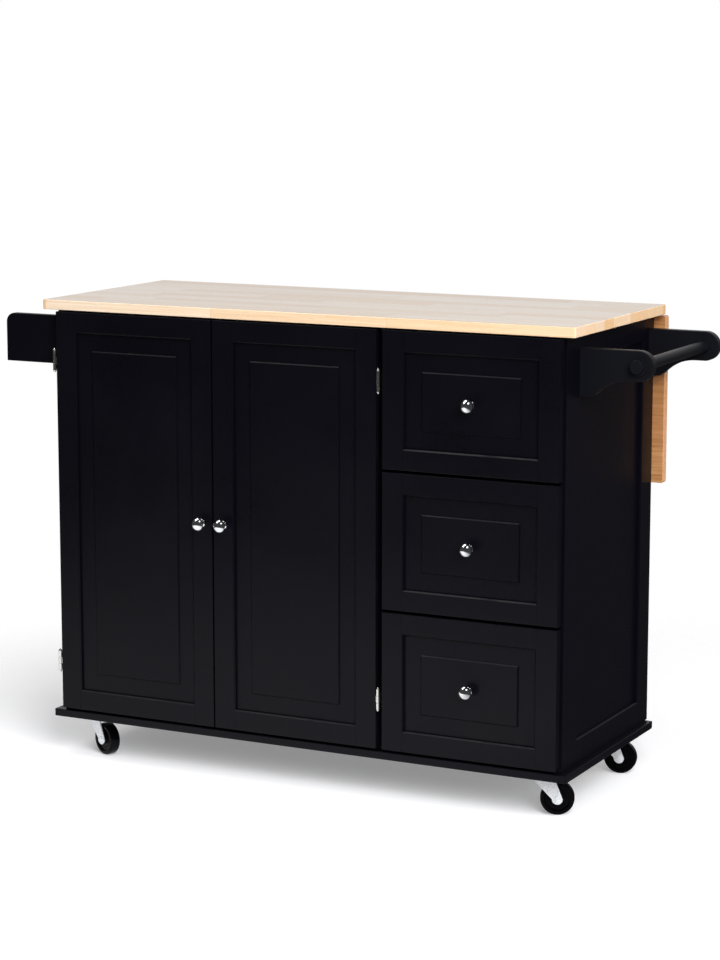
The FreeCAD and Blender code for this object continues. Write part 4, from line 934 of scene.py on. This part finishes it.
def makeCasters():
    half = caster["hub"] + arcRings(**caster["treadEdge"])
    whole = [(-level, radius) for level, radius in half] + list(reversed(half))
    wheelPattern = turned("wheelPattern", scaledRings(whole), caster["wheelSides"])
    rivetRings = scaledRings(domedHead(caster["rivet"]))
    rivetPattern = turned("axleRivetPattern", rivetRings, caster["rivetSides"])
    coverPattern = turned("raceCoverPattern", scaledRings(caster["raceCover"]), caster["coverSides"])
    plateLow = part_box("caster_plates")[1].z - caster["plateSheet"]
    covers = []
    screwPlaces = []
    for end in ("front", "rear"):
        for side in ("left", "right"):
            name = f"{end}_{side}"
            title = pieceName(name)
            swivel = Vector(joints[f"{name}_swivel"]["pos_m"])
            axle = Vector(joints[f"{name}_axle"]["pos_m"])
            along = Vector(joints[f"{name}_axle"]["axis"]).normalized()
            wheel = placedCopy(wheelPattern, title + "Wheel", axle, along)
            smoothed(wheel, smoothUnder["wheel"])
            dressed(wheel, f"{name}_wheel", "wheel_plastic", [f"{name}_caster_wheel"])
            rivets = [
                placedCopy(rivetPattern, "rivet", axle + along * way * caster["rivetStart"], along * way)
                for way in (-1, 1)
            ]
            rivet = joined(rivets, title + "AxleRivets")
            smoothed(rivet, smoothUnder["dome"])
            dressed(rivet, f"{name}_fork", "zinc_steel")
            covers.append(placedCopy(coverPattern, "raceCover", (swivel.x, swivel.y, plateLow)))
            for stepX in (-caster["screwAlong"], caster["screwAlong"]):
                for stepY in (-caster["screwAcross"], caster["screwAcross"]):
                    screwPlaces.append((swivel.x + stepX, swivel.y + stepY, plateLow))
    cover = joined(covers, "casterRaceCovers")
    smoothed(cover, smoothUnder["dome"])
    dressed(cover, "cabinet", "zinc_steel")
    driveScrews("casterPlateScrews", "pan", screwPlaces, (0, 0, -1), "cabinet")
    for pattern in (wheelPattern, rivetPattern, coverPattern):
        discard(pattern)


makeCasters()
print("casters dressed")


# Drop-leaf hinges: six screws in each of the three, their rows staggered
leafHinges = {
    "spacing": 400 * mm,
    "sheet": 1.5 * mm,
    "screwSteps": (-26 * mm, 0.0, 26 * mm),
    "screwFromAxis": (14 * mm, 25 * mm, 14 * mm),
}


def screwLeafHinges():
    axis = Vector(joints["leaf_hinge"]["pos_m"])
    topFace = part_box("tabletop")[0].z - leafHinges["sheet"]
    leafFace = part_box("drop_leaf")[0].y - leafHinges["sheet"]
    topPlaces = []
    leafPlaces = []
    for step in (-1, 0, 1):
        centre = axis.x + step * leafHinges["spacing"]
        for shift, reach in zip(leafHinges["screwSteps"], leafHinges["screwFromAxis"]):
            topPlaces.append((centre + shift, axis.y - reach, topFace))
            leafPlaces.append((centre + shift, leafFace, axis.z - reach))
    driveScrews("topHingeScrews", "countersunk", topPlaces, (0, 0, -1), "cabinet")
    driveScrews("leafHingeScrews", "countersunk", leafPlaces, (0, -1, 0), "leaf")


screwLeafHinges()
print("leaf hinges screwed on")


# Folding stays: two screws in each plate, and a domed pivot at the cabinet
stays = {
    "plateSheet": 2.0 * mm,
    "plateAside": 2.8 * mm,     # from the link's side to the middle of its plate
    "pivotAside": 1.5 * mm,
    "screwRise": 32 * mm,
    "pivot": {"foot": [(-0.2, 4.9), (0.0, 5.15)], "rim": 0.7, "dome": (1.6, 5.15)},
    "pivotSides": 32,
}


def dressStays():
    pattern = turned("stayDomePattern", scaledRings(domedHead(stays["pivot"])), stays["pivotSides"])
    low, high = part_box("stay_wall_plates")
    plateMiddle = (low.z + high.z) / 2
    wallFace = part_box("back_panel")[1].y + stays["plateSheet"]
    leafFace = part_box("drop_leaf")[0].y - stays["plateSheet"]
    wallPlaces = []
    leafPlaces = []
    for side in ("left", "right"):
        lower = Vector(joints[f"{side}_lower_link_hinge"]["pos_m"])
        upper = Vector(joints[f"{side}_upper_link_hinge"]["pos_m"])
        for way in (-1, 1):
            rise = plateMiddle + way * stays["screwRise"]
            wallPlaces.append((lower.x - stays["plateAside"], wallFace, rise))
            leafPlaces.append((upper.x + stays["plateAside"], leafFace, rise))
        place = (upper.x - stays["pivotAside"], lower.y, lower.z)
        pivot = placedCopy(pattern, f"{side}StayWallPivot", place, (1, 0, 0))
        smoothed(pivot, smoothUnder["dome"])
        dressed(pivot, "cabinet", "zinc_steel")
    driveScrews("stayWallScrews", "countersunk", wallPlaces, (0, 1, 0), "cabinet")
    driveScrews("stayLeafScrews", "countersunk", leafPlaces, (0, -1, 0), "leaf")
    discard(pattern)


dressStays()
print("stays dressed")

for pattern in screwPatterns.values():
    discard(pattern)
